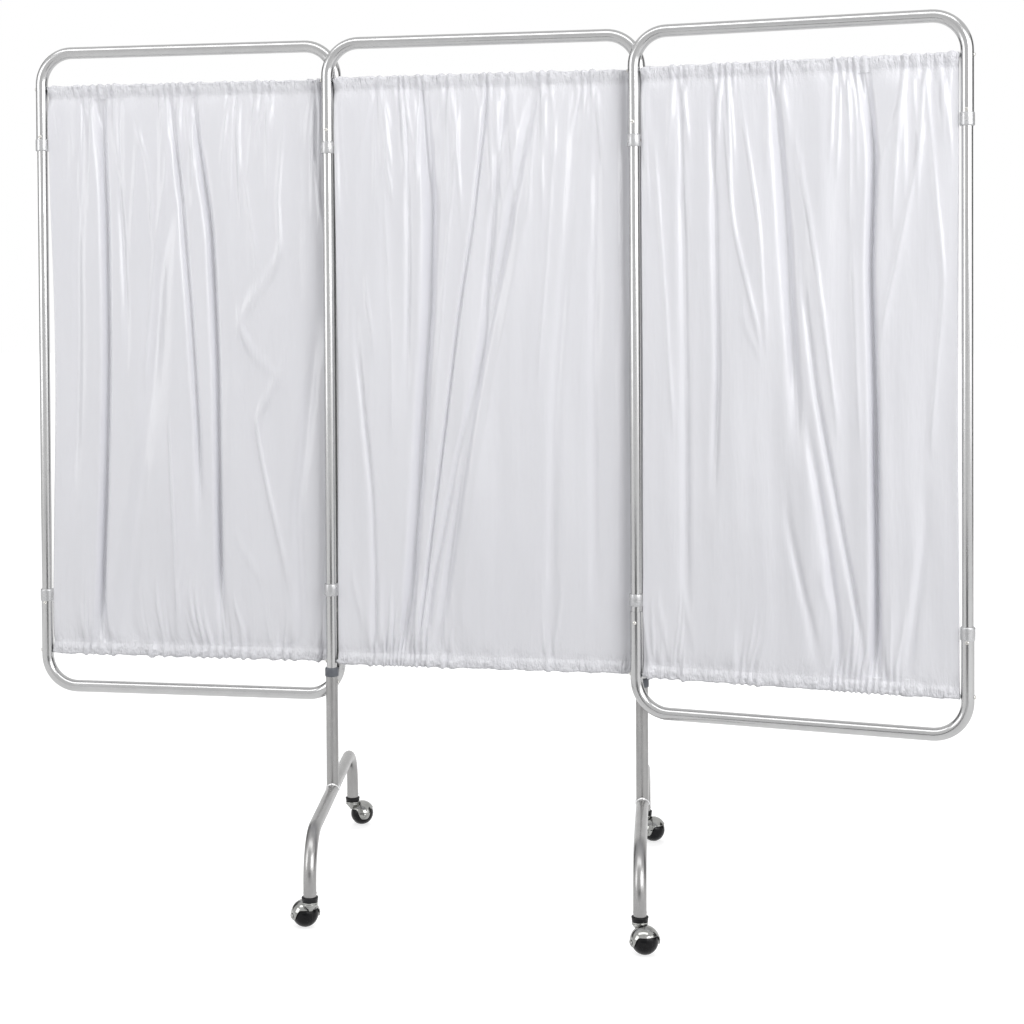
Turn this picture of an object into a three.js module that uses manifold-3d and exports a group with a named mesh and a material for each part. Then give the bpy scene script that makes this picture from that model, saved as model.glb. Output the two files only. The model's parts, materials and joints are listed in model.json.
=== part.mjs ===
// Folding three-panel ward privacy screen on four ball casters.
// Millimetres, +Z up. +X runs along the middle panel to the viewer's right, +Y points to the back.
import * as THREE from 'three';
import * as BufferGeometryUtils from 'three/addons/utils/BufferGeometryUtils.js';
import Module from 'manifold-3d';

const wasm = await Module();
wasm.setup();

// Driving dimensions of the whole screen
const uprightSpacing = 660;
const topRailHeight = 1754;
const bottomRailHeight = 374;
const hingeSpacing = 30;
const leftLinkDegrees = 72;
const rightLinkDegrees = -104;
const leftPanelDegrees = 1;
const rightPanelDegrees = -9.5;
const runningGap = 0.3;
const cutOverrun = 2;
const roundingAllowance = 1e-6;

// Round tube of the rails, legs and feet, and the slimmer upright that slides into it
const railTubeRadius = 12.7;
const uprightTubeRadius = 11.1;
const railWall = 1;
const uprightWall = 1.2;
const bendRadius = 68;
const tubeSides = 12;
const bendSteps = 4;
const railLegLength = 205;
const uprightInsertion = 55;

// Curtain rods
const rodRadius = 4;
const rodBoreRadius = 2;
const rodDrop = 77;
const rodSides = 12;

// Plastic sleeves on the outer uprights
const collarRadius = 14.4;
const collarEdge = 1.2;
const collarSides = 12;
const sleeveLength = 26;
const sleeveCoverLength = 19;

// Double hinge collars between neighbouring uprights
const hingeLength = 25;
const hingeWebWidth = 17;
const lowerHingeLift = 11;

// Legs and feet
const legTopRise = 59;
const legInsertion = 70;
const legCollarHeight = 18.5;
const legCollarCover = 14;
const legScrewDrop = 26;
const legScrewRadius = 2.4;
const legScrewHeadRadius = 4.2;
const legScrewHeadHeight = 2.8;
const screwSides = 8;
const footTubeHeight = 178;
const footHalfSpan = 352;
const footBendRadius = 86;
const leftFootTurnDegrees = 9;
const rightFootTurnDegrees = 6;
const rightAngle = 90;
const footEndHeight = 60;
const weldRadius = 2.6;
const weldSides = 5;
const weldSteps = 16;

// Black plastic cup at each foot end, with a plug that holds the caster stem
const socketRadius = 16.2;
const socketBottomHeight = 55.6;
const socketTopHeight = 65;
const socketPlugLength = 18;
const socketEdge = 1;

// Ball casters
const ballRadius = 25.4;
const ballTreadWidth = 8;
const ballHubHalfWidth = 24.4;
const ballSides = 20;
const ballSteps = 2;
const casterTrail = 22;
const hoodGap = 1.9;
const hoodWall = 1.1;
const hoodRimDegrees = 62;
const hoodEarDegrees = 44;
const hoodEarSpreadDegrees = 30;
const hoodRounds = 24;
const hoodSteps = 4;
const roomSides = 16;
const bossSides = 12;
const bossRadius = 15.6;
const bossRimHeight = 7;
const bossFootRadius = 7;
const bossFootHeight = 17;
const bossPocketDepth = 7.5;
const stemRadius = 5.5;
const stemTopHeight = 74;
const stemGripRadius = 6.1;
const stemGripLength = 5;
const stemSides = 8;
const axleRadius = 3;
const axleHeadRadius = 5.2;
const axleHeadHeight = 1.3;
const axleSides = 10;
const casterHeadingDegrees = { front_left: 131, rear_left: 28, front_right: -59, rear_right: -26 };

// Curtains: a thin sheet with a rod pocket along its top and bottom
const clothThickness = 1.6;
const curtainSideGap = 2.3;
const curtainPullIn = 13;
const curtainColumns = 27;
const pocketHalfDepth = 6.4;
const pocketRise = 7.5;
const pocketFall = 9;
const pocketEdgeThickness = 3;
const foldDepth = 7;
const pocketFoldShare = 0.12;
const hangRowShares = [0.1, 0.32, 0.55, 0.78, 0.93];
const hangDepthShares = [0.75, 1, 0.9, 1, 0.7];
const leftFoldShares = [
  { top: 0.06, bottom: 0.05, spread: 0.03, depth: 0.6 },
  { top: 0.2, bottom: 0.17, spread: 0.032, depth: -1 },
  { top: 0.31, bottom: 0.35, spread: 0.04, depth: 0.7 },
  { top: 0.47, bottom: 0.52, spread: 0.026, depth: -0.9 },
  { top: 0.58, bottom: 0.62, spread: 0.026, depth: 0.9 },
  { top: 0.7, bottom: 0.73, spread: 0.03, depth: -0.6 },
  { top: 0.86, bottom: 0.84, spread: 0.04, depth: 0.7 },
];
const middleFoldShares = [
  { top: 0.09, bottom: 0.07, spread: 0.035, depth: 0.6 },
  { top: 0.21, bottom: 0.17, spread: 0.03, depth: -0.5 },
  { top: 0.33, bottom: 0.28, spread: 0.026, depth: -1 },
  { top: 0.4, bottom: 0.34, spread: 0.028, depth: 1 },
  { top: 0.55, bottom: 0.49, spread: 0.035, depth: 0.6 },
  { top: 0.7, bottom: 0.69, spread: 0.04, depth: -0.5 },
  { top: 0.88, bottom: 0.9, spread: 0.035, depth: 0.6 },
];
const rightFoldShares = [
  { top: 0.08, bottom: 0.1, spread: 0.03, depth: 0.6 },
  { top: 0.24, bottom: 0.22, spread: 0.035, depth: -0.6 },
  { top: 0.4, bottom: 0.41, spread: 0.04, depth: 0.7 },
  { top: 0.58, bottom: 0.62, spread: 0.03, depth: 0.6 },
  { top: 0.72, bottom: 0.75, spread: 0.026, depth: -1 },
  { top: 0.79, bottom: 0.82, spread: 0.026, depth: 0.9 },
  { top: 0.93, bottom: 0.91, spread: 0.03, depth: -0.6 },
];

// Finishes
const aluminium = { color: 0xc9cacc, roughness: 0.3, metalness: 1 };
const legSteel = { color: 0xa0a1a5, roughness: 0.32, metalness: 1 };
const rodSteel = { color: 0xb4b6b8, roughness: 0.4, metalness: 1 };
const greyPlastic = { color: 0xb9babc, roughness: 0.5, metalness: 0 };
const slatePlastic = { color: 0x5b5e63, roughness: 0.6, metalness: 0 };
const blackPlastic = { color: 0x1b1b1d, roughness: 0.55, metalness: 0 };
const chrome = { color: 0xdfe0e0, roughness: 0.12, metalness: 1 };
const vinyl = { color: 0xefeff3, roughness: 0.3, metalness: 0 };

const screen = new THREE.Group();

// The legs end below the middle curtain's lower rod, so they follow the bottom rails' height
const legTopHeight = bottomRailHeight + legTopRise;
const legScrewHeight = legTopHeight - legScrewDrop;

// Helpers that turn geometry into closed, outward-facing solids

function signedVolume(geometry) {
  const place = geometry.getAttribute('position');
  const index = geometry.getIndex();
  const a = new THREE.Vector3();
  const b = new THREE.Vector3();
  const c = new THREE.Vector3();
  let sum = 0;
  for (let i = 0; i < index.count; i += 3) {
    a.fromBufferAttribute(place, index.getX(i));
    b.fromBufferAttribute(place, index.getX(i + 1));
    c.fromBufferAttribute(place, index.getX(i + 2));
    sum += a.dot(b.cross(c)) / 6;
  }
  return sum;
}

function closed(geometry) {
  geometry.deleteAttribute('normal');
  geometry.deleteAttribute('uv');
  const merged = BufferGeometryUtils.mergeVertices(geometry);
  if (signedVolume(merged) < 0) {
    const index = merged.getIndex();
    for (let i = 0; i < index.count; i += 3) {
      const second = index.getX(i + 1);
      index.setX(i + 1, index.getX(i + 2));
      index.setX(i + 2, second);
    }
  }
  return merged;
}

function solid(geometry) {
  const merged = closed(geometry);
  return new wasm.Manifold(new wasm.Mesh({
    numProp: 3,
    vertProperties: new Float32Array(merged.getAttribute('position').array),
    triVerts: new Uint32Array(merged.getIndex().array),
  }));
}

function geometryOf(body) {
  const mesh = body.getMesh();
  const geometry = new THREE.BufferGeometry();
  geometry.setAttribute('position', new THREE.BufferAttribute(mesh.vertProperties, 3));
  geometry.setIndex(new THREE.BufferAttribute(mesh.triVerts, 1));
  return geometry;
}

function addPiece(group, name, geometry, finish) {
  const merged = closed(geometry);
  merged.computeVertexNormals();
  const mesh = new THREE.Mesh(merged, new THREE.MeshStandardMaterial(finish));
  mesh.name = name;
  group.add(mesh);
  return mesh;
}

// The polygon of a round bore clears a circle of the given radius on every side
function boreAround(radius, sides) {
  return (radius + runningGap) / Math.cos(Math.PI / sides);
}

function ring(outline, sides) {
  const points = outline.map(([radius, height]) => new THREE.Vector2(radius, height));
  points.push(points[0].clone());
  return new THREE.LatheGeometry(points, sides).rotateX(Math.PI / 2);
}

function turned(outline, sides) {
  const points = outline.map(([radius, height]) => new THREE.Vector2(radius, height));
  return new THREE.LatheGeometry(points, sides).rotateX(Math.PI / 2);
}

function pipe(outerRadius, innerRadius, bottom, top, sides) {
  return ring([[innerRadius, bottom], [outerRadius, bottom], [outerRadius, top], [innerRadius, top]], sides);
}

function bar(radius, bottom, top, sides) {
  return turned([[0, bottom], [radius, bottom], [radius, top], [0, top]], sides);
}

// A centre line of straight runs and round bends, with a section at each end of a run and along each bend
class BentLine extends THREE.Curve {
  constructor() {
    super();
    this.stations = [];
    this.directions = [];
  }

  start(x, z, angle) {
    this.x = x;
    this.z = z;
    this.angle = angle;
    this.note();
    return this;
  }

  note() {
    this.stations.push(new THREE.Vector3(this.x, 0, this.z));
    this.directions.push(new THREE.Vector3(Math.cos(this.angle), 0, Math.sin(this.angle)));
  }

  run(length) {
    this.x += Math.cos(this.angle) * length;
    this.z += Math.sin(this.angle) * length;
    this.note();
    return this;
  }

  bend(radius, turn) {
    const side = Math.sign(turn);
    const centreX = this.x - Math.sin(this.angle) * radius * side;
    const centreZ = this.z + Math.cos(this.angle) * radius * side;
    const from = this.angle;
    for (let i = 1; i <= bendSteps; i += 1) {
      this.angle = from + turn * i / bendSteps;
      this.x = centreX + Math.sin(this.angle) * radius * side;
      this.z = centreZ - Math.cos(this.angle) * radius * side;
      this.note();
    }
    return this;
  }

  between(list, share, target) {
    const last = list.length - 1;
    const low = Math.min(Math.floor(share * last + roundingAllowance), last - 1);
    return target.copy(list[low]).lerp(list[low + 1], share * last - low);
  }

  getPoint(share, target = new THREE.Vector3()) {
    return this.between(this.stations, share, target);
  }

  getPointAt(share, target = new THREE.Vector3()) {
    return this.getPoint(share, target);
  }

  getTangent(share, target = new THREE.Vector3()) {
    return this.between(this.directions, share, target).normalize();
  }

  getTangentAt(share, target = new THREE.Vector3()) {
    return this.getTangent(share, target);
  }
}

function roundOutline(radius, sides) {
  const points = [];
  for (let i = 0; i < sides; i += 1) {
    const angle = 2 * Math.PI * i / sides;
    points.push(new THREE.Vector2(Math.cos(angle) * radius, Math.sin(angle) * radius));
  }
  return points;
}

function bentPipe(line) {
  const section = new THREE.Shape(roundOutline(railTubeRadius, tubeSides));
  section.holes.push(new THREE.Path(roundOutline(railTubeRadius - railWall, tubeSides)));
  const steps = line.stations.length - 1;
  return new THREE.ExtrudeGeometry(section, { steps, bevelEnabled: false, extrudePath: line });
}

// Frame of one panel, in its own frame: the left upright stands at x = 0

function railGeometry(height, up) {
  const turn = Math.PI / 2;
  const legRun = railLegLength - bendRadius;
  const line = new BentLine()
    .start(0, height - up * railLegLength, up * turn)
    .run(legRun)
    .bend(bendRadius, -up * turn)
    .run(uprightSpacing - 2 * bendRadius)
    .bend(bendRadius, -up * turn)
    .run(legRun);
  return bentPipe(line);
}

function uprightGeometry(bottom, top) {
  return pipe(uprightTubeRadius, uprightTubeRadius - uprightWall, bottom, top, tubeSides);
}

function rodGeometry(height, tubeRadius) {
  const reach = tubeRadius + runningGap;
  return pipe(rodRadius, rodBoreRadius, reach, uprightSpacing - reach, rodSides)
    .rotateY(Math.PI / 2)
    .translate(0, 0, height);
}

// A sleeve hugs the rail's open end and closes in on the slimmer upright
function sleeveGeometry() {
  const wide = boreAround(railTubeRadius, collarSides);
  const narrow = boreAround(uprightTubeRadius, collarSides);
  return ring([
    [wide, sleeveCoverLength],
    [collarRadius - collarEdge, sleeveCoverLength],
    [collarRadius, sleeveCoverLength - collarEdge],
    [collarRadius, sleeveCoverLength - sleeveLength + collarEdge],
    [collarRadius - collarEdge, sleeveCoverLength - sleeveLength],
    [narrow, sleeveCoverLength - sleeveLength],
    [narrow, -runningGap],
    [wide, -runningGap],
  ], collarSides);
}

function foldOffset(folds, columnShare, hangShare) {
  let offset = 0;
  for (const fold of folds) {
    const centre = fold.top + (fold.bottom - fold.top) * hangShare;
    const away = (columnShare - centre) / fold.spread;
    offset += fold.depth * foldDepth * Math.exp(-away * away);
  }
  return offset;
}

function curtainRows() {
  const topRod = topRailHeight - rodDrop;
  const bottomRod = bottomRailHeight + rodDrop;
  const hangTop = topRod - pocketFall;
  const hangBottom = bottomRod + pocketFall;
  const cloth = clothThickness / 2;
  const edge = pocketEdgeThickness / 2;
  const rows = [
    { height: topRod + pocketRise, half: edge, share: pocketFoldShare },
    { height: topRod, half: pocketHalfDepth, share: 0 },
    { height: hangTop, half: cloth, share: pocketFoldShare },
  ];
  hangRowShares.forEach((share, i) => {
    rows.push({ height: hangTop + (hangBottom - hangTop) * share, half: cloth, share: hangDepthShares[i] });
  });
  rows.push({ height: hangBottom, half: cloth, share: pocketFoldShare });
  rows.push({ height: bottomRod, half: pocketHalfDepth, share: 0 });
  rows.push({ height: bottomRod - pocketRise, half: edge, share: pocketFoldShare });
  return rows;
}

// Two skins over one grid of rows and columns, joined along all four edges
function curtainGeometry(folds) {
  const rows = curtainRows();
  const topHeight = rows[0].height;
  const hang = topHeight - rows[rows.length - 1].height;
  const sideReach = railTubeRadius + curtainSideGap;
  const places = [];
  const faces = [];
  for (const side of [-1, 1]) {
    for (const row of rows) {
      const hangShare = (topHeight - row.height) / hang;
      const inset = sideReach + curtainPullIn * Math.sin(Math.PI * hangShare) ** 2;
      for (let column = 0; column <= curtainColumns; column += 1) {
        const columnShare = column / curtainColumns;
        const x = inset + (uprightSpacing - 2 * inset) * columnShare;
        const y = row.share * foldOffset(folds, columnShare, hangShare) + side * row.half;
        places.push(x, y, row.height);
      }
    }
  }
  const across = curtainColumns + 1;
  const skin = across * rows.length;
  const quad = (a, b, c, d) => faces.push(a, b, c, a, c, d);
  for (let row = 0; row < rows.length - 1; row += 1) {
    for (let column = 0; column < curtainColumns; column += 1) {
      const corner = row * across + column;
      quad(corner, corner + across, corner + across + 1, corner + 1);
      quad(skin + corner, skin + corner + 1, skin + corner + across + 1, skin + corner + across);
    }
    const left = row * across;
    const right = left + curtainColumns;
    quad(left, skin + left, skin + left + across, left + across);
    quad(right, right + across, skin + right + across, skin + right);
  }
  const last = skin - across;
  for (let column = 0; column < curtainColumns; column += 1) {
    quad(column, column + 1, skin + column + 1, skin + column);
    quad(last + column, skin + last + column, skin + last + column + 1, last + column + 1);
  }
  const geometry = new THREE.BufferGeometry();
  geometry.setAttribute('position', new THREE.Float32BufferAttribute(places, 3));
  geometry.setIndex(faces);
  let body = solid(geometry);
  const tunnelRadius = boreAround(rodRadius, rodSides);
  for (const height of [topRailHeight - rodDrop, bottomRailHeight + rodDrop]) {
    const tunnel = bar(tunnelRadius, -cutOverrun, uprightSpacing + cutOverrun, rodSides)
      .rotateY(Math.PI / 2)
      .translate(0, 0, height);
    body = body.subtract(solid(tunnel));
  }
  return geometryOf(body);
}

// A side panel hangs on the hinge collars and stands clear of the floor
function addSidePanel(side, outerX, hingeX, folds) {
  const panel = new THREE.Group();
  const top = topRailHeight - railLegLength;
  const bottom = bottomRailHeight + railLegLength;
  const upright = uprightGeometry(bottom - uprightInsertion, top + uprightInsertion);
  addPiece(panel, `top_rail_${side}`, railGeometry(topRailHeight, 1), aluminium);
  addPiece(panel, `bottom_rail_${side}`, railGeometry(bottomRailHeight, -1), aluminium);
  addPiece(panel, `outer_upright_${side}`, upright.clone().translate(outerX, 0, 0), aluminium);
  addPiece(panel, `hinge_upright_${side}`, upright.clone().translate(hingeX, 0, 0), aluminium);
  addPiece(panel, `top_rod_${side}`, rodGeometry(topRailHeight - rodDrop, railTubeRadius), rodSteel);
  addPiece(panel, `bottom_rod_${side}`, rodGeometry(bottomRailHeight + rodDrop, railTubeRadius), rodSteel);
  addPiece(panel, `curtain_${side}`, curtainGeometry(folds), vinyl);
  addPiece(panel, `upper_sleeve_${side}`, sleeveGeometry().translate(outerX, 0, top), greyPlastic);
  const lowerSleeve = sleeveGeometry().rotateX(Math.PI).translate(outerX, 0, bottom);
  addPiece(panel, `lower_sleeve_${side}`, lowerSleeve, greyPlastic);
  screen.add(panel);
  return panel;
}

// The middle panel has no bottom rail: its uprights go down into the legs
function addMiddlePanel() {
  const panel = new THREE.Group();
  const top = topRailHeight - railLegLength + uprightInsertion;
  const upright = uprightGeometry(legTopHeight - legInsertion, top);
  addPiece(panel, 'top_rail_middle', railGeometry(topRailHeight, 1), aluminium);
  addPiece(panel, 'left_upright_middle', upright.clone(), aluminium);
  addPiece(panel, 'right_upright_middle', upright.clone().translate(uprightSpacing, 0, 0), aluminium);
  addPiece(panel, 'top_rod_middle', rodGeometry(topRailHeight - rodDrop, railTubeRadius), rodSteel);
  const bottomRod = rodGeometry(bottomRailHeight + rodDrop, uprightTubeRadius);
  addPiece(panel, 'bottom_rod_middle', bottomRod, rodSteel);
  addPiece(panel, 'curtain_middle', curtainGeometry(middleFoldShares), vinyl);
  panel.position.set(-uprightSpacing / 2, 0, 0);
  screen.add(panel);
}

// A double collar: one ring is pinned to the side panel's upright, the other turns on the middle panel's
function hingeGeometry() {
  const web = new THREE.BoxGeometry(hingeSpacing, hingeWebWidth, hingeLength);
  web.translate(hingeSpacing / 2, 0, hingeLength / 2);
  let body = solid(web);
  for (const x of [0, hingeSpacing]) {
    const collar = turned([
      [0, 0],
      [collarRadius - collarEdge, 0],
      [collarRadius, collarEdge],
      [collarRadius, hingeLength - collarEdge],
      [collarRadius - collarEdge, hingeLength],
      [0, hingeLength],
    ], collarSides);
    body = body.add(solid(collar.translate(x, 0, 0)));
  }
  const boreRadius = boreAround(uprightTubeRadius, collarSides);
  for (const x of [0, hingeSpacing]) {
    const bore = bar(boreRadius, -cutOverrun, hingeLength + cutOverrun, collarSides);
    body = body.subtract(solid(bore.translate(x, 0, 0)));
  }
  return geometryOf(body);
}

function addHinges(side, postX, linkDegrees) {
  const pair = new THREE.Group();
  const upper = topRailHeight - railLegLength - runningGap - hingeLength;
  const lower = bottomRailHeight + railLegLength + lowerHingeLift;
  addPiece(pair, `${side}_upper_hinge`, hingeGeometry().translate(0, 0, upper), greyPlastic);
  addPiece(pair, `${side}_lower_hinge`, hingeGeometry().translate(0, 0, lower), greyPlastic);
  pair.position.set(postX, 0, 0);
  pair.rotation.z = THREE.MathUtils.degToRad(linkDegrees);
  screen.add(pair);
}

// Leg, foot bow, weld and leg fittings, in the foot's own frame: the bow runs along x, its front end at +x

function bowGeometry() {
  const turn = Math.PI / 2;
  const drop = footTubeHeight - footBendRadius - footEndHeight;
  const line = new BentLine()
    .start(-footHalfSpan, footEndHeight, turn)
    .run(drop)
    .bend(footBendRadius, -turn)
    .run(2 * (footHalfSpan - footBendRadius))
    .bend(footBendRadius, -turn)
    .run(drop);
  return bentPipe(line);
}

function bowClearance() {
  const reach = footHalfSpan - footBendRadius;
  return bar(railTubeRadius + runningGap, -reach, reach, tubeSides)
    .rotateY(Math.PI / 2)
    .translate(0, 0, footTubeHeight);
}

// The screw's shank lies along y, towards the panel's middle
function screwHoleGeometry(inboard) {
  const radius = boreAround(legScrewRadius, screwSides);
  return bar(radius, uprightTubeRadius + runningGap, railTubeRadius + cutOverrun, screwSides)
    .rotateX(-inboard * Math.PI / 2)
    .translate(0, 0, legScrewHeight);
}

// The leg's lower end is cut to a saddle that fits the bow
function legGeometry(inboard) {
  const leg = solid(pipe(railTubeRadius, railTubeRadius - railWall, footTubeHeight, legTopHeight, tubeSides));
  return geometryOf(leg.subtract(solid(bowClearance())).subtract(solid(screwHoleGeometry(inboard))));
}

function weldGeometry() {
  const pathRadius = railTubeRadius + runningGap;
  const saddleRadius = railTubeRadius + 2 * runningGap;
  const bead = closed(new THREE.TorusGeometry(pathRadius, weldRadius, weldSides, weldSteps));
  const place = bead.getAttribute('position');
  for (let i = 0; i < place.count; i += 1) {
    const angle = Math.atan2(place.getY(i), place.getX(i));
    const across = pathRadius * Math.sin(angle);
    const rise = Math.sqrt(saddleRadius * saddleRadius - across * across);
    place.setZ(i, place.getZ(i) + footTubeHeight + rise);
  }
  const post = bar(railTubeRadius + runningGap, footTubeHeight, legTopHeight, tubeSides);
  return geometryOf(solid(bead).subtract(solid(bowClearance())).subtract(solid(post)));
}

function legCollarGeometry() {
  const wide = boreAround(railTubeRadius, collarSides);
  const narrow = boreAround(uprightTubeRadius, collarSides);
  const bottom = -legCollarCover;
  const top = bottom + legCollarHeight;
  return ring([
    [wide, bottom],
    [collarRadius - collarEdge, bottom],
    [collarRadius, bottom + collarEdge],
    [collarRadius, top - collarEdge],
    [collarRadius - collarEdge, top],
    [narrow, top],
    [narrow, runningGap],
    [wide, runningGap],
  ], collarSides).translate(0, 0, legTopHeight);
}

function legScrewGeometry(inboard) {
  const tip = uprightTubeRadius + runningGap;
  const seat = railTubeRadius + runningGap;
  return turned([
    [0, tip],
    [legScrewRadius, tip],
    [legScrewRadius, seat],
    [legScrewHeadRadius, seat],
    [legScrewHeadRadius, seat + legScrewHeadHeight / 2],
    [legScrewHeadRadius * Math.SQRT1_2, seat + legScrewHeadHeight],
    [0, seat + legScrewHeadHeight],
  ], screwSides)
    .rotateX(-inboard * Math.PI / 2)
    .translate(0, 0, legScrewHeight);
}

// A cup round the tube's end, a floor under it and a plug inside it, bored for the stem
function socketGeometry() {
  const wide = boreAround(railTubeRadius, tubeSides);
  const plug = (railTubeRadius - railWall) - runningGap;
  const bore = boreAround(stemGripRadius, tubeSides);
  const floor = footEndHeight - runningGap;
  return ring([
    [bore, socketBottomHeight],
    [socketRadius - socketEdge, socketBottomHeight],
    [socketRadius, socketBottomHeight + socketEdge],
    [socketRadius, socketTopHeight],
    [wide, socketTopHeight],
    [wide, floor],
    [plug, floor],
    [plug, floor + socketPlugLength],
    [bore, floor + socketPlugLength],
  ], tubeSides);
}

function ballCentreHeight() {
  return ballRadius;
}

function bossTop() {
  return socketBottomHeight - runningGap;
}

function stemGeometry() {
  const bottom = bossTop() - bossPocketDepth + runningGap;
  const gripBottom = stemTopHeight - 2 * stemGripLength;
  return turned([
    [0, bottom],
    [stemRadius, bottom],
    [stemRadius, gripBottom],
    [stemGripRadius, gripBottom],
    [stemGripRadius, gripBottom + stemGripLength],
    [stemRadius, gripBottom + stemGripLength],
    [stemRadius, stemTopHeight],
    [0, stemTopHeight],
  ], stemSides);
}

// Rim of the hood, as an angle down from its crown: it drops into an ear on each side of the ball
function hoodRim(turn) {
  const spread = THREE.MathUtils.degToRad(hoodEarSpreadDegrees);
  const fromAxle = Math.acos(Math.min(1, Math.abs(Math.sin(turn))));
  const ear = hoodEarDegrees * Math.exp(-((fromAxle / spread) ** 4));
  return THREE.MathUtils.degToRad(hoodRimDegrees + ear);
}

// A thin spherical shell over the ball, with its trail along +x and its axle along y
function hoodShell(innerRadius, outerRadius) {
  const places = [];
  const faces = [];
  const rings = [];
  for (const radius of [outerRadius, innerRadius]) {
    const crown = places.length / 3;
    places.push(0, 0, radius);
    const rows = [];
    for (let step = 1; step <= hoodSteps; step += 1) {
      rows.push(places.length / 3);
      for (let i = 0; i < hoodRounds; i += 1) {
        const turn = 2 * Math.PI * i / hoodRounds;
        const tilt = hoodRim(turn) * step / hoodSteps;
        const flat = radius * Math.sin(tilt);
        places.push(flat * Math.cos(turn), flat * Math.sin(turn), radius * Math.cos(tilt));
      }
    }
    rings.push({ crown, rows });
  }
  const [outer, inner] = rings;
  for (let i = 0; i < hoodRounds; i += 1) {
    const next = (i + 1) % hoodRounds;
    faces.push(outer.crown, outer.rows[0] + i, outer.rows[0] + next);
    faces.push(inner.crown, inner.rows[0] + next, inner.rows[0] + i);
    for (let step = 1; step < hoodSteps; step += 1) {
      const [a, b] = [outer.rows[step - 1], outer.rows[step]];
      const [c, d] = [inner.rows[step - 1], inner.rows[step]];
      faces.push(a + i, b + i, b + next, a + i, b + next, a + next);
      faces.push(c + i, d + next, d + i, c + i, c + next, d + next);
    }
    const [a, b] = [outer.rows[hoodSteps - 1], inner.rows[hoodSteps - 1]];
    faces.push(a + i, b + i, b + next, a + i, b + next, a + next);
  }
  const geometry = new THREE.BufferGeometry();
  geometry.setAttribute('position', new THREE.Float32BufferAttribute(places, 3));
  geometry.setIndex(faces);
  return geometry;
}

// Hood and the boss that swivels on the stem, in the caster's frame: stem at x = 0, ball at x = trail
function hoodGeometry() {
  const inner = ballRadius + hoodGap;
  const outer = inner + hoodWall;
  const height = ballCentreHeight();
  const top = bossTop();
  const shell = hoodShell(inner, outer).translate(casterTrail, 0, height);
  const boss = turned([
    [0, top - bossFootHeight],
    [bossFootRadius, top - bossFootHeight],
    [bossRadius, top - bossRimHeight],
    [bossRadius, top],
    [0, top],
  ], bossSides);
  const room = new THREE.SphereGeometry(inner, roomSides, roomSides / 2)
    .rotateX(Math.PI / 2)
    .translate(casterTrail, 0, height);
  const pocketRadius = boreAround(stemRadius, stemSides);
  const pocket = bar(pocketRadius, top - bossPocketDepth, top + cutOverrun, stemSides);
  const axleHole = bar(boreAround(axleRadius, axleSides), -2 * outer, 2 * outer, axleSides)
    .rotateX(Math.PI / 2)
    .translate(casterTrail, 0, height);
  const body = solid(boss)
    .subtract(solid(room))
    .add(solid(shell))
    .subtract(solid(pocket))
    .subtract(solid(axleHole));
  return geometryOf(body);
}

function axleGeometry() {
  const seat = ballRadius + hoodGap + hoodWall + runningGap;
  const end = seat + axleHeadHeight;
  return turned([
    [0, -end],
    [axleHeadRadius - axleHeadHeight, -end],
    [axleHeadRadius, -seat],
    [axleRadius, -seat],
    [axleRadius, seat],
    [axleHeadRadius, seat],
    [axleHeadRadius - axleHeadHeight, end],
    [0, end],
  ], axleSides)
    .rotateX(Math.PI / 2)
    .translate(casterTrail, 0, ballCentreHeight());
}

// The ball has a narrow tread whose facets lie flat on the floor, and a bore for the axle
function ballGeometry() {
  const flat = 1 / Math.cos(Math.PI / ballSides);
  const bore = boreAround(axleRadius, axleSides);
  const treadAngle = Math.asin(ballTreadWidth / 2 / ballRadius);
  const hubAngle = Math.asin(ballHubHalfWidth / ballRadius);
  const half = [];
  for (let i = 0; i <= ballSteps; i += 1) {
    const angle = treadAngle + (hubAngle - treadAngle) * i / ballSteps;
    const radius = i === 0 ? ballRadius * flat : ballRadius * Math.cos(angle);
    half.push([radius, ballRadius * Math.sin(angle)]);
  }
  half.push([bore, ballHubHalfWidth]);
  const mirrored = half.map(([radius, height]) => [radius, -height]).reverse();
  return ring([...mirrored, ...half], ballSides)
    .rotateX(Math.PI / 2)
    .rotateY(Math.PI / 2 + Math.PI / ballSides)
    .translate(casterTrail, 0, ballCentreHeight());
}

function addCaster(place, foot, x, footTurnDegrees) {
  addPiece(foot, `${place}_caster_socket`, socketGeometry().translate(x, 0, 0), blackPlastic);
  addPiece(foot, `${place}_caster_stem`, stemGeometry().translate(x, 0, 0), chrome);
  const caster = new THREE.Group();
  addPiece(caster, `${place}_caster_hood`, hoodGeometry(), chrome);
  addPiece(caster, `${place}_caster_axle`, axleGeometry(), chrome);
  addPiece(caster, `${place}_caster_ball`, ballGeometry(), blackPlastic);
  caster.position.set(x, 0, 0);
  const heading = casterHeadingDegrees[place] - footTurnDegrees + rightAngle;
  caster.rotation.z = THREE.MathUtils.degToRad(heading);
  foot.add(caster);
}

function addFoot(side, postX, inboard, footTurnDegrees) {
  const foot = new THREE.Group();
  addPiece(foot, `${side}_leg`, legGeometry(inboard), legSteel);
  addPiece(foot, `${side}_foot_bow`, bowGeometry(), legSteel);
  addPiece(foot, `${side}_weld_bead`, weldGeometry(), legSteel);
  addPiece(foot, `${side}_leg_collar`, legCollarGeometry(), slatePlastic);
  addPiece(foot, `${side}_leg_screw`, legScrewGeometry(inboard), rodSteel);
  addCaster(`front_${side}`, foot, footHalfSpan, footTurnDegrees);
  addCaster(`rear_${side}`, foot, -footHalfSpan, footTurnDegrees);
  foot.position.set(postX, 0, 0);
  foot.rotation.z = THREE.MathUtils.degToRad(footTurnDegrees - rightAngle);
  screen.add(foot);
}

// Assembly, as it stands in use: the side panels open out on their double collars

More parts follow.
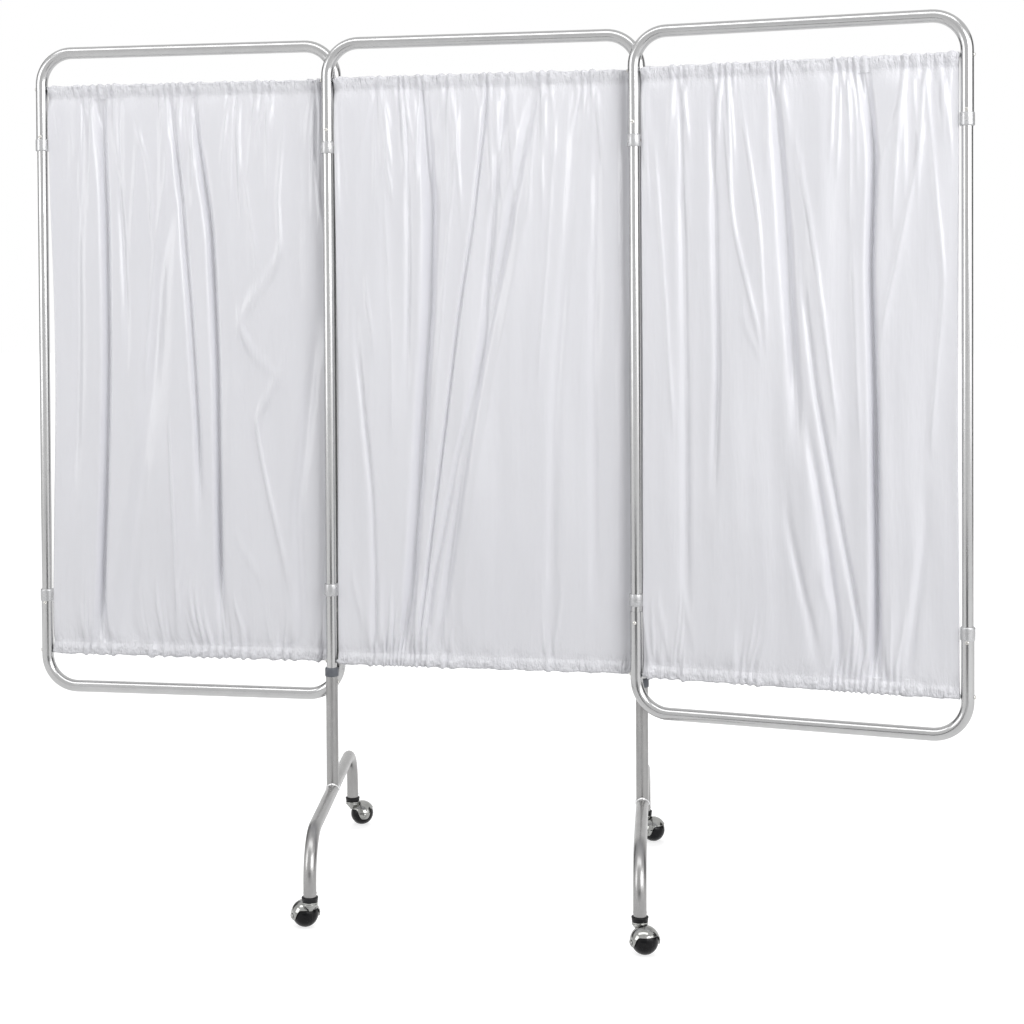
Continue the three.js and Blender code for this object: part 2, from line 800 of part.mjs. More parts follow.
const leftPost = -uprightSpacing / 2;
const rightPost = uprightSpacing / 2;
const leftLink = THREE.MathUtils.degToRad(leftLinkDegrees);
const rightLink = THREE.MathUtils.degToRad(rightLinkDegrees);
const leftTurn = THREE.MathUtils.degToRad(leftPanelDegrees);
const rightTurn = THREE.MathUtils.degToRad(rightPanelDegrees);

addMiddlePanel();
addHinges('left', leftPost, leftLinkDegrees);
addHinges('right', rightPost, rightLinkDegrees);
addFoot('left', leftPost, 1, leftFootTurnDegrees);
addFoot('right', rightPost, -1, rightFootTurnDegrees);

const leftPanel = addSidePanel('left', 0, uprightSpacing, leftFoldShares);
leftPanel.rotation.z = leftTurn;
leftPanel.position.set(
  leftPost + hingeSpacing * Math.cos(leftLink) - uprightSpacing * Math.cos(leftTurn),
  hingeSpacing * Math.sin(leftLink) - uprightSpacing * Math.sin(leftTurn),
  0,
);

const rightPanel = addSidePanel('right', uprightSpacing, 0, rightFoldShares);
rightPanel.rotation.z = rightTurn;
rightPanel.position.set(
  rightPost + hingeSpacing * Math.cos(rightLink),
  hingeSpacing * Math.sin(rightLink),
  0,
);

// The origin lies on the floor under the middle of the whole screen's box
const outline = new THREE.Box3().setFromObject(screen, true);
screen.position.set(
  -(outline.min.x + outline.max.x) / 2,
  -(outline.min.y + outline.max.y) / 2,
  -outline.min.z,
);

export default screen;
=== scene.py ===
# %% [markdown]
# Ward privacy screen on wheels: three gathered vinyl curtains in bright tube frames.
#
# A screen like this closes off a bed. It is rolled into place, and its side panels swing.
# The CAD frame gives every place and size. This lesson dresses it: smooth tubes, moulded collars,
# chrome ball casters, sewn curtains with their folds, and the finish of each material.
# Everything is in metres, +Z up, with the front of the screen towards -Y. The frame is loaded
# first, because every piece below is placed by the box of a CAD node and never by a typed place.

# %% Load the frame
import json
import math

import bmesh
import bpy
import numpy as np
from mathutils import Matrix, Vector
from mathutils.geometry import tessellate_polygon


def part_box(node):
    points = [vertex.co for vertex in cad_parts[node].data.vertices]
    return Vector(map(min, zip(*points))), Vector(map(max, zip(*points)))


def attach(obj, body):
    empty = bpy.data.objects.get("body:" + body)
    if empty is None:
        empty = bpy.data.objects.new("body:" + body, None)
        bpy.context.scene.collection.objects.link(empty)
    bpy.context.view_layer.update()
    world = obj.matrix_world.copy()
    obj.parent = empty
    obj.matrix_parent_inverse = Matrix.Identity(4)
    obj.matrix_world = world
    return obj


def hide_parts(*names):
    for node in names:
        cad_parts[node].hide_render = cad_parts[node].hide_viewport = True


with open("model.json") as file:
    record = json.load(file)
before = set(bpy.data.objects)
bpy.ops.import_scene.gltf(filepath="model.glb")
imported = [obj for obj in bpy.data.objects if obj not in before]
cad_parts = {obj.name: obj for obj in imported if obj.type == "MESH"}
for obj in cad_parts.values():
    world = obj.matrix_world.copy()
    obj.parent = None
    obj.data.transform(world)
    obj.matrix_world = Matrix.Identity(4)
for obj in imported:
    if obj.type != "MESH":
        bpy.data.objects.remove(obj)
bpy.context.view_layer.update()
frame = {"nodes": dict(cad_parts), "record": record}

MM = 0.001
UP = Vector((0, 0, 1))
BODIES = frame["record"]["behaviour"]["bodies"]
BODY_OF = {node: body for body, nodes in BODIES.items() for node in nodes}
print("nodes in the frame:", len(BODY_OF))

# %% [markdown]
# ## Places
# The real screen is three flat panels on two legs. Each panel could be modelled where it stands,
# but a piece is far simpler to draw flat and then to turn into place with one matrix.
# So each panel gets its own frame: along from its left upright, out towards the back, and up.
# The uprights, rails and caster parts of the CAD model say where these frames are.

# %% Places of the panels, feet and casters
def centre(node):
    low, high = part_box(node)
    return (Vector(low) + Vector(high)) / 2


def low_z(node):
    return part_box(node)[0][2]


def high_z(node):
    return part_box(node)[1][2]


def flat(point, height=0.0):
    return Vector((point[0], point[1], height))


def upright_frame(start, end):
    """The frame of a panel or foot: x from one upright to the next, y to its back, z up."""
    along = (flat(end) - flat(start)).normalized()
    out = UP.cross(along)
    turn = Matrix((along, out, UP)).transposed().to_4x4()
    return Matrix.Translation(flat(start)) @ turn


TUBE = 12.7 * MM
SLIM = 11.1 * MM
WALL = 1.0 * MM
SLIM_WALL = 1.2 * MM
BEND = 68 * MM
FOOT_BEND = 86 * MM
QUARTER_TURN = math.pi / 2

PANELS = {
    "left": ("outer_upright_left", "hinge_upright_left"),
    "middle": ("left_upright_middle", "right_upright_middle"),
    "right": ("hinge_upright_right", "outer_upright_right"),
}
MIDDLE_POST = {"left": "left_upright_middle", "right": "right_upright_middle"}
PANEL_FRAME = {name: upright_frame(centre(a), centre(b)) for name, (a, b) in PANELS.items()}
SPACING = (flat(centre(MIDDLE_POST["right"])) - flat(centre(MIDDLE_POST["left"]))).length
TOP_RAIL = high_z("top_rail_middle") - TUBE
BOTTOM_RAIL = low_z("bottom_rail_left") + TUBE
RAIL_LEG = TOP_RAIL - low_z("top_rail_middle")
TOP_ROD = centre("top_rod_middle")[2]
BOTTOM_ROD = centre("bottom_rod_middle")[2]
FOOT_TOP = high_z("left_foot_bow") - TUBE
FOOT_END = low_z("left_foot_bow")
PLACES = ["front_left", "rear_left", "front_right", "rear_right"]
print("panel spacing", round(SPACING, 4), "rail heights", round(TOP_RAIL, 4), round(BOTTOM_RAIL, 4))

# %% [markdown]
# ## Material helpers
# No surface of a real screen is one even colour: metal is clouded, plastic has a cast grain.
# Such finishes can be painted as pictures or made by nodes. Nodes are used here, as they stay
# sharp at any distance and need no files. These small functions add nodes and link them, so that
# each material further down reads as a short recipe.

# %% Node helpers
def new_material(name):
    material = bpy.data.materials.new(name)
    material.use_nodes = True
    tree = material.node_tree
    tree.nodes.clear()
    output = tree.nodes.new("ShaderNodeOutputMaterial")
    shader = tree.nodes.new("ShaderNodeBsdfPrincipled")
    tree.links.new(shader.outputs[0], output.inputs[0])
    return material, tree, shader


def node(tree, kind, inputs=None, **settings):
    made = tree.nodes.new(kind)
    for key, value in settings.items():
        setattr(made, key, value)
    for key, value in (inputs or {}).items():
        if isinstance(value, bpy.types.NodeSocket):
            tree.links.new(value, made.inputs[key])
        else:
            made.inputs[key].default_value = value
    return made


def stretched(tree, coordinates, scale):
    return node(tree, "ShaderNodeMapping", {"Vector": coordinates, "Scale": scale}).outputs[0]


def noise(tree, vector, scale, detail=3.0, roughness=0.5):
    inputs = {"Vector": vector, "Scale": scale, "Detail": detail, "Roughness": roughness}
    return node(tree, "ShaderNodeTexNoise", inputs).outputs["Fac"]


def remap(tree, value, low, high, to_low, to_high):
    inputs = {"Value": value, 1: low, 2: high, 3: to_low, 4: to_high}
    return node(tree, "ShaderNodeMapRange", inputs).outputs[0]


def blend_colour(tree, factor, first, second):
    mixer = node(tree, "ShaderNodeMix", data_type="RGBA")
    tree.links.new(factor, mixer.inputs[0])
    mixer.inputs[6].default_value = (*first, 1)
    mixer.inputs[7].default_value = (*second, 1)
    return mixer.outputs[2]


def arithmetic(tree, operation, first, second):
    made = node(tree, "ShaderNodeMath", operation=operation)
    for socket, value in zip(made.inputs, (first, second)):
        if isinstance(value, bpy.types.NodeSocket):
            tree.links.new(value, socket)
        else:
            socket.default_value = value
    return made.outputs[0]


def bump(tree, height, distance, strength=1.0, under=None):
    inputs = {"Height": height, "Distance": distance, "Strength": strength}
    if under is not None:
        inputs["Normal"] = under
    return node(tree, "ShaderNodeBump", inputs).outputs[0]


# %% [markdown]
# ## Brushed grain
# Drawn and polished tube keeps fine scratches along its length, with a slow cloudiness under them.
# A texture in object coordinates would cut straight through the bends. This one reads the UV map
# of the tube, laid out in metres, so the grain follows every bend. It is one node group, because
# both tube metals share it and differ in colour and depth only.

# %% Brushed grain group
def brushed_grain():
    group = bpy.data.node_groups.new("brushed_grain", "ShaderNodeTree")
    group.interface.new_socket("Vector", in_out="INPUT", socket_type="NodeSocketVector")
    for name in ("Grain", "Cloud"):
        group.interface.new_socket(name, in_out="OUTPUT", socket_type="NodeSocketFloat")
    entry = group.nodes.new("NodeGroupInput")
    leave = group.nodes.new("NodeGroupOutput")
    lines = noise(group, stretched(group, entry.outputs[0], (1, 0.012, 1)), 2600, 4, 0.6)
    cloud = noise(group, stretched(group, entry.outputs[0], (1, 0.35, 1)), 45, 3, 0.55)
    group.links.new(lines, leave.inputs[0])
    group.links.new(cloud, leave.inputs[1])
    return group


GRAIN = brushed_grain()
print("outputs of the grain group:", [item.name for item in GRAIN.interface.items_tree][1:])

# %% [markdown]
# ## Metals
# The panels are bright anodised aluminium, the legs and feet a darker brushed steel, and the
# casters chrome. The steel's darker tone is partly its own and partly painted shade, as the low parts
# of the frame get less light. Rods, screws and weld beads are plainer plated metal. All of them are mirrors
# to some degree: the colour is what they reflect, and the roughness says how blurred it is.
# Two recipes are enough: one with the grain along a tube, and one for small turned pieces,
# where clouding and pits in the piece's own coordinates look the same from every side.

# %% Brushed metals
def brushed_metal(name, dark, light, smooth, rough, grain_depth):
    material, tree, shader = new_material(name)
    uv = node(tree, "ShaderNodeUVMap", uv_map="along").outputs[0]
    grain = node(tree, "ShaderNodeGroup", node_tree=GRAIN)
    tree.links.new(uv, grain.inputs[0])
    mixed = arithmetic(tree, "MULTIPLY_ADD", grain.outputs[0], 0.45)
    tree.links.new(arithmetic(tree, "MULTIPLY", grain.outputs[1], 0.6), mixed.node.inputs[2])
    tone = remap(tree, mixed, 0.3, 0.75, 0, 1)
    tree.links.new(blend_colour(tree, tone, dark, light), shader.inputs["Base Color"])
    tree.links.new(remap(tree, mixed, 0.3, 0.75, rough, smooth), shader.inputs["Roughness"])
    tree.links.new(bump(tree, grain.outputs[0], grain_depth, 0.5), shader.inputs["Normal"])
    shader.inputs["Metallic"].default_value = 1
    return material


ALUMINIUM = brushed_metal(
    "bright_aluminium", (0.4, 0.4, 0.402), (0.48, 0.48, 0.481), 0.16, 0.24, 0.000012)
# The legs' steel is darker partly in its own tone and partly as painted shade on the low parts of the frame.
LEG_STEEL_AND_PAINTED_SHADE = brushed_metal(
    "brushed_leg_steel_and_painted_shade", (0.27, 0.267, 0.265), (0.35, 0.347, 0.345), 0.24, 0.34, 0.00002)
print("brushed metals:", ALUMINIUM.name, LEG_STEEL_AND_PAINTED_SHADE.name)


# %% Plated metals
def plated_metal(name, dark, light, smooth, rough, spot_size):
    """Plated metal with faint clouding and rare fine pits, in the piece's own coordinates."""
    material, tree, shader = new_material(name)
    place = node(tree, "ShaderNodeTexCoord").outputs["Object"]
    cloud = noise(tree, place, 60, 4, 0.55)
    pits = noise(tree, place, spot_size, 2, 0.5)
    tone = remap(tree, cloud, 0.35, 0.7, 0, 1)
    tree.links.new(blend_colour(tree, tone, dark, light), shader.inputs["Base Color"])
    tree.links.new(remap(tree, cloud, 0.3, 0.75, smooth, rough), shader.inputs["Roughness"])
    tree.links.new(bump(tree, pits, 0.00002, 0.35), shader.inputs["Normal"])
    shader.inputs["Metallic"].default_value = 1
    return material


CHROME = plated_metal("chrome_plate", (0.27, 0.272, 0.262), (0.38, 0.382, 0.37), 0.06, 0.13, 900)
ROD_STEEL = plated_metal("zinc_rod", (0.42, 0.43, 0.44), (0.58, 0.59, 0.6), 0.3, 0.45, 1500)
SCREW_STEEL = plated_metal("nickel_screw", (0.5, 0.49, 0.47), (0.68, 0.67, 0.64), 0.18, 0.32, 2200)
WELD_METAL = plated_metal("weld_metal", (0.62, 0.62, 0.63), (0.85, 0.85, 0.85), 0.22, 0.4, 700)
PIN_DARK = plated_metal("dark_pin", (0.06, 0.045, 0.035), (0.16, 0.12, 0.09), 0.4, 0.6, 1800)
print("metals so far:", len(bpy.data.materials))

# %% [markdown]
# ## Plastics, rubber and thread
# Collars and cups are moulded plastic, the balls are hard rubber and the hems are sewn with thread.
# A mould leaves a fine cast grain, and hands and floors rub parts of it smooth. Both could be
# modelled, but they are far smaller than a pixel, so one recipe gives them as bump and roughness.

# %% Moulded plastics and rubber
def moulded(name, dark, light, smooth, rough, grain_scale, grain_depth, shine=0.5, metal=0.0):
    """Moulded plastic: a fine cast grain, with soft rubbed patches that shine a little more."""
    material, tree, shader = new_material(name)
    place = node(tree, "ShaderNodeTexCoord").outputs["Object"]
    cloud = noise(tree, place, 70, 3, 0.55)
    cast = noise(tree, place, grain_scale, 2, 0.6)
    tone = remap(tree, cloud, 0.3, 0.7, 0, 1)
    tree.links.new(blend_colour(tree, tone, dark, light), shader.inputs["Base Color"])
    tree.links.new(remap(tree, cloud, 0.3, 0.7, rough, smooth), shader.inputs["Roughness"])
    tree.links.new(bump(tree, cast, grain_depth, 0.6), shader.inputs["Normal"])
    shader.inputs["Specular IOR Level"].default_value = shine
    shader.inputs["Metallic"].default_value = metal
    return material


GREY_PLASTIC = moulded(
    "silver_grey_plastic", (0.46, 0.462, 0.47), (0.56, 0.562, 0.57), 0.22, 0.34, 2600, 0.00002,
    shine=0.5, metal=0.5)
SLATE_PLASTIC = moulded(
    "slate_plastic", (0.1, 0.108, 0.125), (0.155, 0.165, 0.185), 0.36, 0.52, 2600, 0.00004)
BLACK_PLASTIC = moulded(
    "black_plastic", (0.006, 0.006, 0.007), (0.014, 0.014, 0.015), 0.36, 0.5, 2400, 0.00004, shine=0.22)
BALL_RUBBER = moulded(
    "ball_rubber", (0.004, 0.004, 0.005), (0.009, 0.009, 0.01), 0.16, 0.3, 1900, 0.00002, shine=0.16)
THREAD = moulded("white_thread", (0.62, 0.62, 0.64), (0.74, 0.74, 0.75), 0.6, 0.75, 4000, 0.00005)
print("materials so far:", len(bpy.data.materials))

# %% [markdown]
# ## Vinyl
# The curtains are a thin glossy vinyl sheet that wipes clean. Light shows every crumple in it.
# The folds are real geometry, made further down. What is finer than a fold is bump here: small
# puckers, streaks along the hanging threads, crinkles that fade away from the rods, and an emboss.
# The crinkles need to know where the rods are, so each curtain carries a point attribute for it.

# %% Curtain vinyl
def curtain_vinyl():
    """Glossy white sheet: an emboss, small puckers, streaks along its threads, crinkles at the rods."""
    material, tree, shader = new_material("curtain_vinyl")
    uv = node(tree, "ShaderNodeUVMap", uv_map="along").outputs[0]
    tint = noise(tree, stretched(tree, uv, (1, 0.4, 1)), 3, 2, 0.5)
    emboss = noise(tree, uv, 2400, 2, 0.5)
    streaks = noise(tree, stretched(tree, uv, (1, 0.09, 1)), 40, 4, 0.55)
    crumple = noise(tree, stretched(tree, uv, (1, 0.45, 1)), 15, 3, 0.55)
    crinkles = noise(tree, stretched(tree, uv, (1, 0.35, 1)), 120, 3, 0.6)
    near_rod = node(tree, "ShaderNodeAttribute", attribute_name="near_rod").outputs["Fac"]
    tone = remap(tree, tint, 0.1, 0.9, 0, 1)
    white = blend_colour(tree, tone, (0.80, 0.801, 0.842), (0.83, 0.831, 0.866))
    tree.links.new(white, shader.inputs["Base Color"])
    tree.links.new(remap(tree, tint, 0.1, 0.9, 0.21, 0.29), shader.inputs["Roughness"])
    puckered = bump(tree, crumple, 0.006, 0.45)
    creased = bump(tree, streaks, 0.0032, 0.65, puckered)
    gathered_up = bump(tree, arithmetic(tree, "MULTIPLY", crinkles, near_rod), 0.011, 1.0, creased)
    tree.links.new(bump(tree, emboss, 0.00002, 0.3, gathered_up), shader.inputs["Normal"])
    shader.inputs["Coat Weight"].default_value = 0.16
    shader.inputs["Coat Roughness"].default_value = 0.14
    shader.inputs["Specular IOR Level"].default_value = 0.5
    return material


VINYL = curtain_vinyl()
print("nodes in the vinyl:", len(VINYL.node_tree.nodes))

# %% [markdown]
# ## Piece helpers
# Every piece of the screen moves with one body: the frame, a side panel, a swivel or a wheel.
# A piece is therefore a mesh that rides on a CAD body and stands for its CAD nodes. Meshes are
# built from lists of points and faces, as this gives full control over the count of faces.
# A UV map in metres comes with them wherever the finish runs along the piece.

# %% Making a piece
def make_piece(name, points, faces, material, body, stands_for=(), uvs=None, crease=35):
    mesh = bpy.data.meshes.new(name)
    mesh.from_pydata([tuple(point) for point in points], [], faces)
    mesh.polygons.foreach_set("use_smooth", [True] * len(mesh.polygons))
    if uvs is not None:
        layer = mesh.uv_layers.new(name="along")
        corners = [uv for face in uvs for uv in face]
        layer.data.foreach_set("uv", np.array(corners, dtype=np.float32).ravel())
    mesh.validate()
    mesh.set_sharp_from_angle(angle=math.radians(crease))
    mesh.materials.append(material)
    piece = bpy.data.objects.new(name, mesh)
    bpy.context.scene.collection.objects.link(piece)
    if stands_for:
        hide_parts(*stands_for)
    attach(piece, body)
    return piece


def placed(points, place):
    return [place @ Vector(point) for point in points]


def node_piece(name, node_name, place, form, material, crease=35):
    """A piece that stands for one CAD node. The form is its points, faces and UVs, drawn in a frame."""
    points, faces, uvs = form
    world = placed(points, place)
    body = BODY_OF[node_name]
    return make_piece(name, world, faces, material, body, [node_name], uvs=uvs, crease=crease)


def no_uvs(faces):
    """Corners for faces whose finish reads no UV map."""
    return [[(0.0, 0.0)] * len(face) for face in faces]


class Shape:
    """Vertices, faces and UVs gathered from several parts of one piece."""

    def __init__(self):
        self.points = []
        self.faces = []
        self.uvs = []

    def add(self, points, faces, uvs):
        start = len(self.points)
        self.points += points
        self.faces += [tuple(start + i for i in face) for face in faces]
        self.uvs += uvs


print("bodies that pieces ride on:", len(BODIES))

# %% [markdown]
# ## Tubes
# Rails and foot bows are round tube, bent cold round a former, with open ends that show the wall.
# A curve with a bevel would give the outer skin only. Here a circle is carried along the centre
# line twice, once for each skin, and two rings join them. This also lays the UV map out in metres,
# which the brushed grain needs.

# %% Centre line of a bent tube
def arc_line(start, angle, moves, bend_steps=14):
    """Points and directions of a line in the x-z plane: ('run', length) and ('bend', radius, turn)."""
    x, z = start
    stations = [(x, z, angle)]
    for move in moves:
        if move[0] == "run":
            x += math.cos(angle) * move[1]
            z += math.sin(angle) * move[1]
            stations.append((x, z, angle))
            continue
        radius, turn = move[1:]
        side = math.copysign(1, turn)
        middle = (x - math.sin(angle) * radius * side, z + math.cos(angle) * radius * side)
        first = angle
        for i in range(1, bend_steps + 1):
            angle = first + turn * i / bend_steps
            x = middle[0] + math.sin(angle) * radius * side
            z = middle[1] - math.cos(angle) * radius * side
            stations.append((x, z, angle))
    return stations


def u_line(height, leg, up):
    """Centre line of a U rail between two uprights; up is 1 for a top rail, -1 for a bottom one."""
    return arc_line((0, height - up * leg), up * QUARTER_TURN, [
        ("run", leg - BEND), ("bend", BEND, -up * QUARTER_TURN),
        ("run", SPACING - 2 * BEND), ("bend", BEND, -up * QUARTER_TURN), ("run", leg - BEND),
    ])


def bow_line(span):
    """Centre line of a foot bow, from its rear end up, along and down to its front end."""
    drop = FOOT_TOP - FOOT_BEND - FOOT_END
    return arc_line((0, FOOT_END), QUARTER_TURN, [
        ("run", drop), ("bend", FOOT_BEND, -QUARTER_TURN), ("run", span - 2 * FOOT_BEND),
        ("bend", FOOT_BEND, -QUARTER_TURN), ("run", drop),
    ])


def straight_line(x, bottom, top):
    return [(x, bottom, QUARTER_TURN), (x, top, QUARTER_TURN)]


print("stations of a top rail's centre line:", len(u_line(TOP_RAIL, RAIL_LEG, 1)))


# %% Sweeping a circle along the line
def swept_tube(stations, radius, wall, sides=36):
    """Outer skin, inner skin and the two end rings of a bent tube in the x-z plane."""
    points, faces, uvs = [], [], []
    lengths = [0.0]
    for a, b in zip(stations, stations[1:]):
        lengths.append(lengths[-1] + math.hypot(b[0] - a[0], b[1] - a[1]))
    for size in (radius, radius - wall):
        for x, z, angle in stations:
            side = Vector((-math.sin(angle), 0, math.cos(angle)))
            for i in range(sides):
                turn = 2 * math.pi * i / sides
                out = side * math.cos(turn) + Vector((0, 1, 0)) * math.sin(turn)
                points.append(Vector((x, 0, z)) + out * size)
    rings = len(stations)
    inner = rings * sides

    def uv_of(row, column):
        return (column / sides * 2 * math.pi * radius, lengths[row])

    for row in range(rings - 1):
        for i in range(sides):
            j = (i + 1) % sides
            a, b = row * sides + i, row * sides + j
            c, d = b + sides, a + sides
            corner = [uv_of(row, i), uv_of(row, i + 1), uv_of(row + 1, i + 1), uv_of(row + 1, i)]
            faces.append((a, b, c, d))
            uvs.append(corner)
            faces.append((inner + d, inner + c, inner + b, inner + a))
            uvs.append(corner[::-1])
    for row, flip in ((0, False), (rings - 1, True)):
        for i in range(sides):
            j = (i + 1) % sides
            face = (row * sides + i, inner + row * sides + i, inner + row * sides + j, row * sides + j)
            corner = [uv_of(row, i), uv_of(row, i), uv_of(row, i + 1), uv_of(row, i + 1)]
            faces.append(face[::-1] if flip else face)
            uvs.append(corner[::-1] if flip else corner)
    return points, faces, uvs


def make_tube(name, node_name, place, stations, radius, wall, material):
    return node_piece(name, node_name, place, swept_tube(stations, radius, wall), material)


# %% Rails and uprights
for panel, place in PANEL_FRAME.items():
    rails = [("top", u_line(TOP_RAIL, RAIL_LEG, 1))]
    if panel != "middle":
        rails.append(("bottom", u_line(BOTTOM_RAIL, RAIL_LEG, -1)))
    for level, line in rails:
        make_tube(f"{panel}_{level}_rail_tube", f"{level}_rail_{panel}", place, line, TUBE, WALL, ALUMINIUM)
    for upright, x in zip(PANELS[panel], (0, SPACING)):
        line = straight_line(x, low_z(upright), high_z(upright))
        make_tube(f"{upright}_tube", upright, place, line, SLIM, SLIM_WALL, ALUMINIUM)
    print(panel, "panel: rails", len(rails), "and uprights", len(PANELS[panel]))

# %% [markdown]
# ## Turned parts
# Collars, sleeves, cups, bosses, axles and screw heads are round: on the real screen they come
# from a lathe or from a round mould. Blender's Screw modifier could turn a profile as well.
# A small function is used instead, because its points can still be changed afterwards: the boss
# is trimmed by the ball's room, and a cross is pressed into the screw heads.

# %% Turning a profile
ROUND_LENGTH = 80 * MM


def turned(outline, sides=48, loop=True):
    """A profile of (radius, height) pairs turned about +Z: a ring, or a solid with ends on the axis."""
    points, faces, uvs = [], [], []
    lengths = [0.0]
    for a, b in zip(outline, outline[1:]):
        lengths.append(lengths[-1] + math.hypot(b[0] - a[0], b[1] - a[1]))
    index = []
    for radius, height in outline:
        if radius < 1e-9:
            index.append([len(points)] * sides)
            points.append(Vector((0, 0, height)))
        else:
            index.append([len(points) + i for i in range(sides)])
            for i in range(sides):
                turn = 2 * math.pi * i / sides
                points.append(Vector((radius * math.cos(turn), radius * math.sin(turn), height)))
    pairs = [(row, row + 1) for row in range(len(outline) - 1)]
    if loop:
        pairs.append((len(outline) - 1, 0))
    for first, second in pairs:
        for i in range(sides):
            j = (i + 1) % sides
            quad = [index[first][i], index[first][j], index[second][j], index[second][i]]
            across = [i, i + 1, i + 1, i]
            along = [lengths[first], lengths[first], lengths[second], lengths[second]]
            face, corner = [], []
            for vertex, u, v in zip(quad, across, along):
                if vertex not in face:
                    face.append(vertex)
                    corner.append((u / sides * ROUND_LENGTH, v))
            if len(face) > 2:
                faces.append(tuple(face))
                uvs.append(corner)
    return points, faces, uvs


def about(point, axis=UP):
    """A frame at point with its z along axis."""
    turn = Vector(axis).normalized().to_track_quat("Z", "Y").to_matrix().to_4x4()
    return Matrix.Translation(Vector(point)) @ turn


def rounded(outline, radius, steps=3):
    """The outline with each corner whose third value is 1 eased by a small arc."""
    result = []
    count = len(outline)
    for i, corner in enumerate(outline):
        here = Vector(corner[:2])
        if len(corner) < 3:
            result.append(tuple(here))
            continue
        before = Vector(outline[i - 1][:2])
        after = Vector(outline[(i + 1) % count][:2])
        reach = min(radius, (before - here).length / 2, (after - here).length / 2)
        start = here + (before - here).normalized() * reach
        end = here + (after - here).normalized() * reach
        for k in range(steps + 1):
            share = k / steps
            result.append(tuple(start.lerp(here, share).lerp(here.lerp(end, share), share)))
    return result


print("faces of a turned ring of four corners:", len(turned([(1, 0), (2, 0), (2, 1), (1, 1)])[1]))

# %% [markdown]
# ## Sleeves and leg collars
# Where a wide rail takes up a slim upright, a moulded sleeve covers the step. A darker collar does
# the same on each leg. Both hug the wide tube on one side and close in on the slim one, so one
# profile serves for all six. Its outer corners are eased, as a sharp edge would catch no light.

# %% Sleeves on the outer uprights and collars on the legs
COLLAR = 14.4 * MM
GAP = 0.3 * MM
WIDE = TUBE + GAP
NARROW = SLIM + GAP
SLEEVE_COVER, SLEEVE_LENGTH = 19 * MM, 26 * MM


def sleeve_outline(cover, length, wide, narrow):
    """From the rail side down: it hugs the wide tube and closes in on the slim one."""
    end = cover - length
    return rounded([
        (wide, cover), (COLLAR - 0.4 * MM, cover, 1), (COLLAR, cover - 2 * MM, 1),
        (COLLAR, end + 2 * MM, 1), (COLLAR - 1.1 * MM, end, 1),
        (narrow, end), (narrow, -GAP), (wide, -GAP),
    ], 1.2 * MM)


for side in ("left", "right"):
    for which, node_name in (("upper", f"upper_sleeve_{side}"), ("lower", f"lower_sleeve_{side}")):
        seat = TOP_RAIL - RAIL_LEG if which == "upper" else BOTTOM_RAIL + RAIL_LEG
        sleeve = turned(sleeve_outline(SLEEVE_COVER, SLEEVE_LENGTH, WIDE, NARROW)[::-1])
        place = about(flat(centre(f"outer_upright_{side}"), seat), UP if which == "upper" else -UP)
        node_piece(f"{side}_{which}_sleeve_moulding", node_name, place, sleeve, GREY_PLASTIC)
    node_name = f"{side}_leg_collar"
    leg_top = high_z(f"{side}_leg")
    cover = leg_top - low_z(node_name)
    outline = sleeve_outline(cover, high_z(node_name) - low_z(node_name), WIDE, NARROW)
    place = about(flat(centre(MIDDLE_POST[side]), leg_top), -UP)
    node_piece(f"{side}_leg_collar_moulding", node_name, place, turned(outline[::-1]), SLATE_PLASTIC)
    print(side, "leg collar covers", round(cover / MM, 1), "mm of its leg")

# %% [markdown]
# ## Double hinge collars
# A side panel swings on two double collars. Each is one moulding: two rings joined by a web, one
# ring turning on the middle panel's upright and one clamped to the side panel's.
# A boolean union of two rings and a block would leave poor faces along the seams. So the outline
# of both rings and the web is drawn as one loop and stacked up, a little smaller at both edges.

# %% Hinge collars
HINGE_SPACING = 30 * MM
HINGE_WEB = 17 * MM


def hinge_loop(inset, steps=22):
    """Outline of the two collars and their web, pulled in by inset."""
    radius = COLLAR - inset
    half_web = HINGE_WEB / 2 - inset
    opening = math.asin(half_web / radius)
    loop = []
    for x, middle in ((0, math.pi), (HINGE_SPACING, 0)):
        reach = math.pi - opening
        for k in range(steps + 1):
            turn = middle - reach + 2 * reach * k / steps
            loop.append((x + radius * math.cos(turn), radius * math.sin(turn)))
    return loop


def bore_ring(x, height, sides):
    """The edge of one bore, as a ring of points at a height."""
    turns = [2 * math.pi * i / sides for i in range(sides)]
    return [Vector((x + NARROW * math.cos(turn), NARROW * math.sin(turn), height)) for turn in turns]


def hinge_shape(length, sides=40):
    """The collars' outer wall with eased edges, their two bores, and the flat faces at both ends."""
    edge = 1.1 * MM
    eased = [(0, edge), (edge * 0.3, edge * 0.3), (edge, 0)]
    heights = eased + [(length - height, inset) for height, inset in reversed(eased)]
    loops = [[Vector((x, y, height)) for x, y in hinge_loop(inset)] for height, inset in heights]
    bores = [bore_ring(x, height, sides) for x in (0, HINGE_SPACING) for height in (0, length)]
    shape = Shape()
    count = len(loops[0])
    points = [point for loop in loops for point in loop]
    faces = []
    for row in range(len(loops) - 1):
        for i in range(count):
            a, b = row * count + i, row * count + (i + 1) % count
            faces.append((a, b, b + count, a + count))
    shape.add(points, faces, no_uvs(faces))
    for low, high in (bores[:2], bores[2:]):
        faces = [(i, sides + i, sides + (i + 1) % sides, (i + 1) % sides) for i in range(sides)]
        shape.add(low + high, faces, no_uvs(faces))
    for loop, holes, flip in ((loops[0], bores[::2], True), (loops[-1], bores[1::2], False)):
        lines = [loop, *holes]
        corners = [point for line in lines for point in line]
        triangles = tessellate_polygon(lines)
        faces = []
        for a, b, c in triangles:
            upward = (corners[b] - corners[a]).cross(corners[c] - corners[a]).z > 0
            faces.append((a, b, c) if upward != flip else (a, c, b))
        shape.add(corners, faces, no_uvs(faces))
    return shape


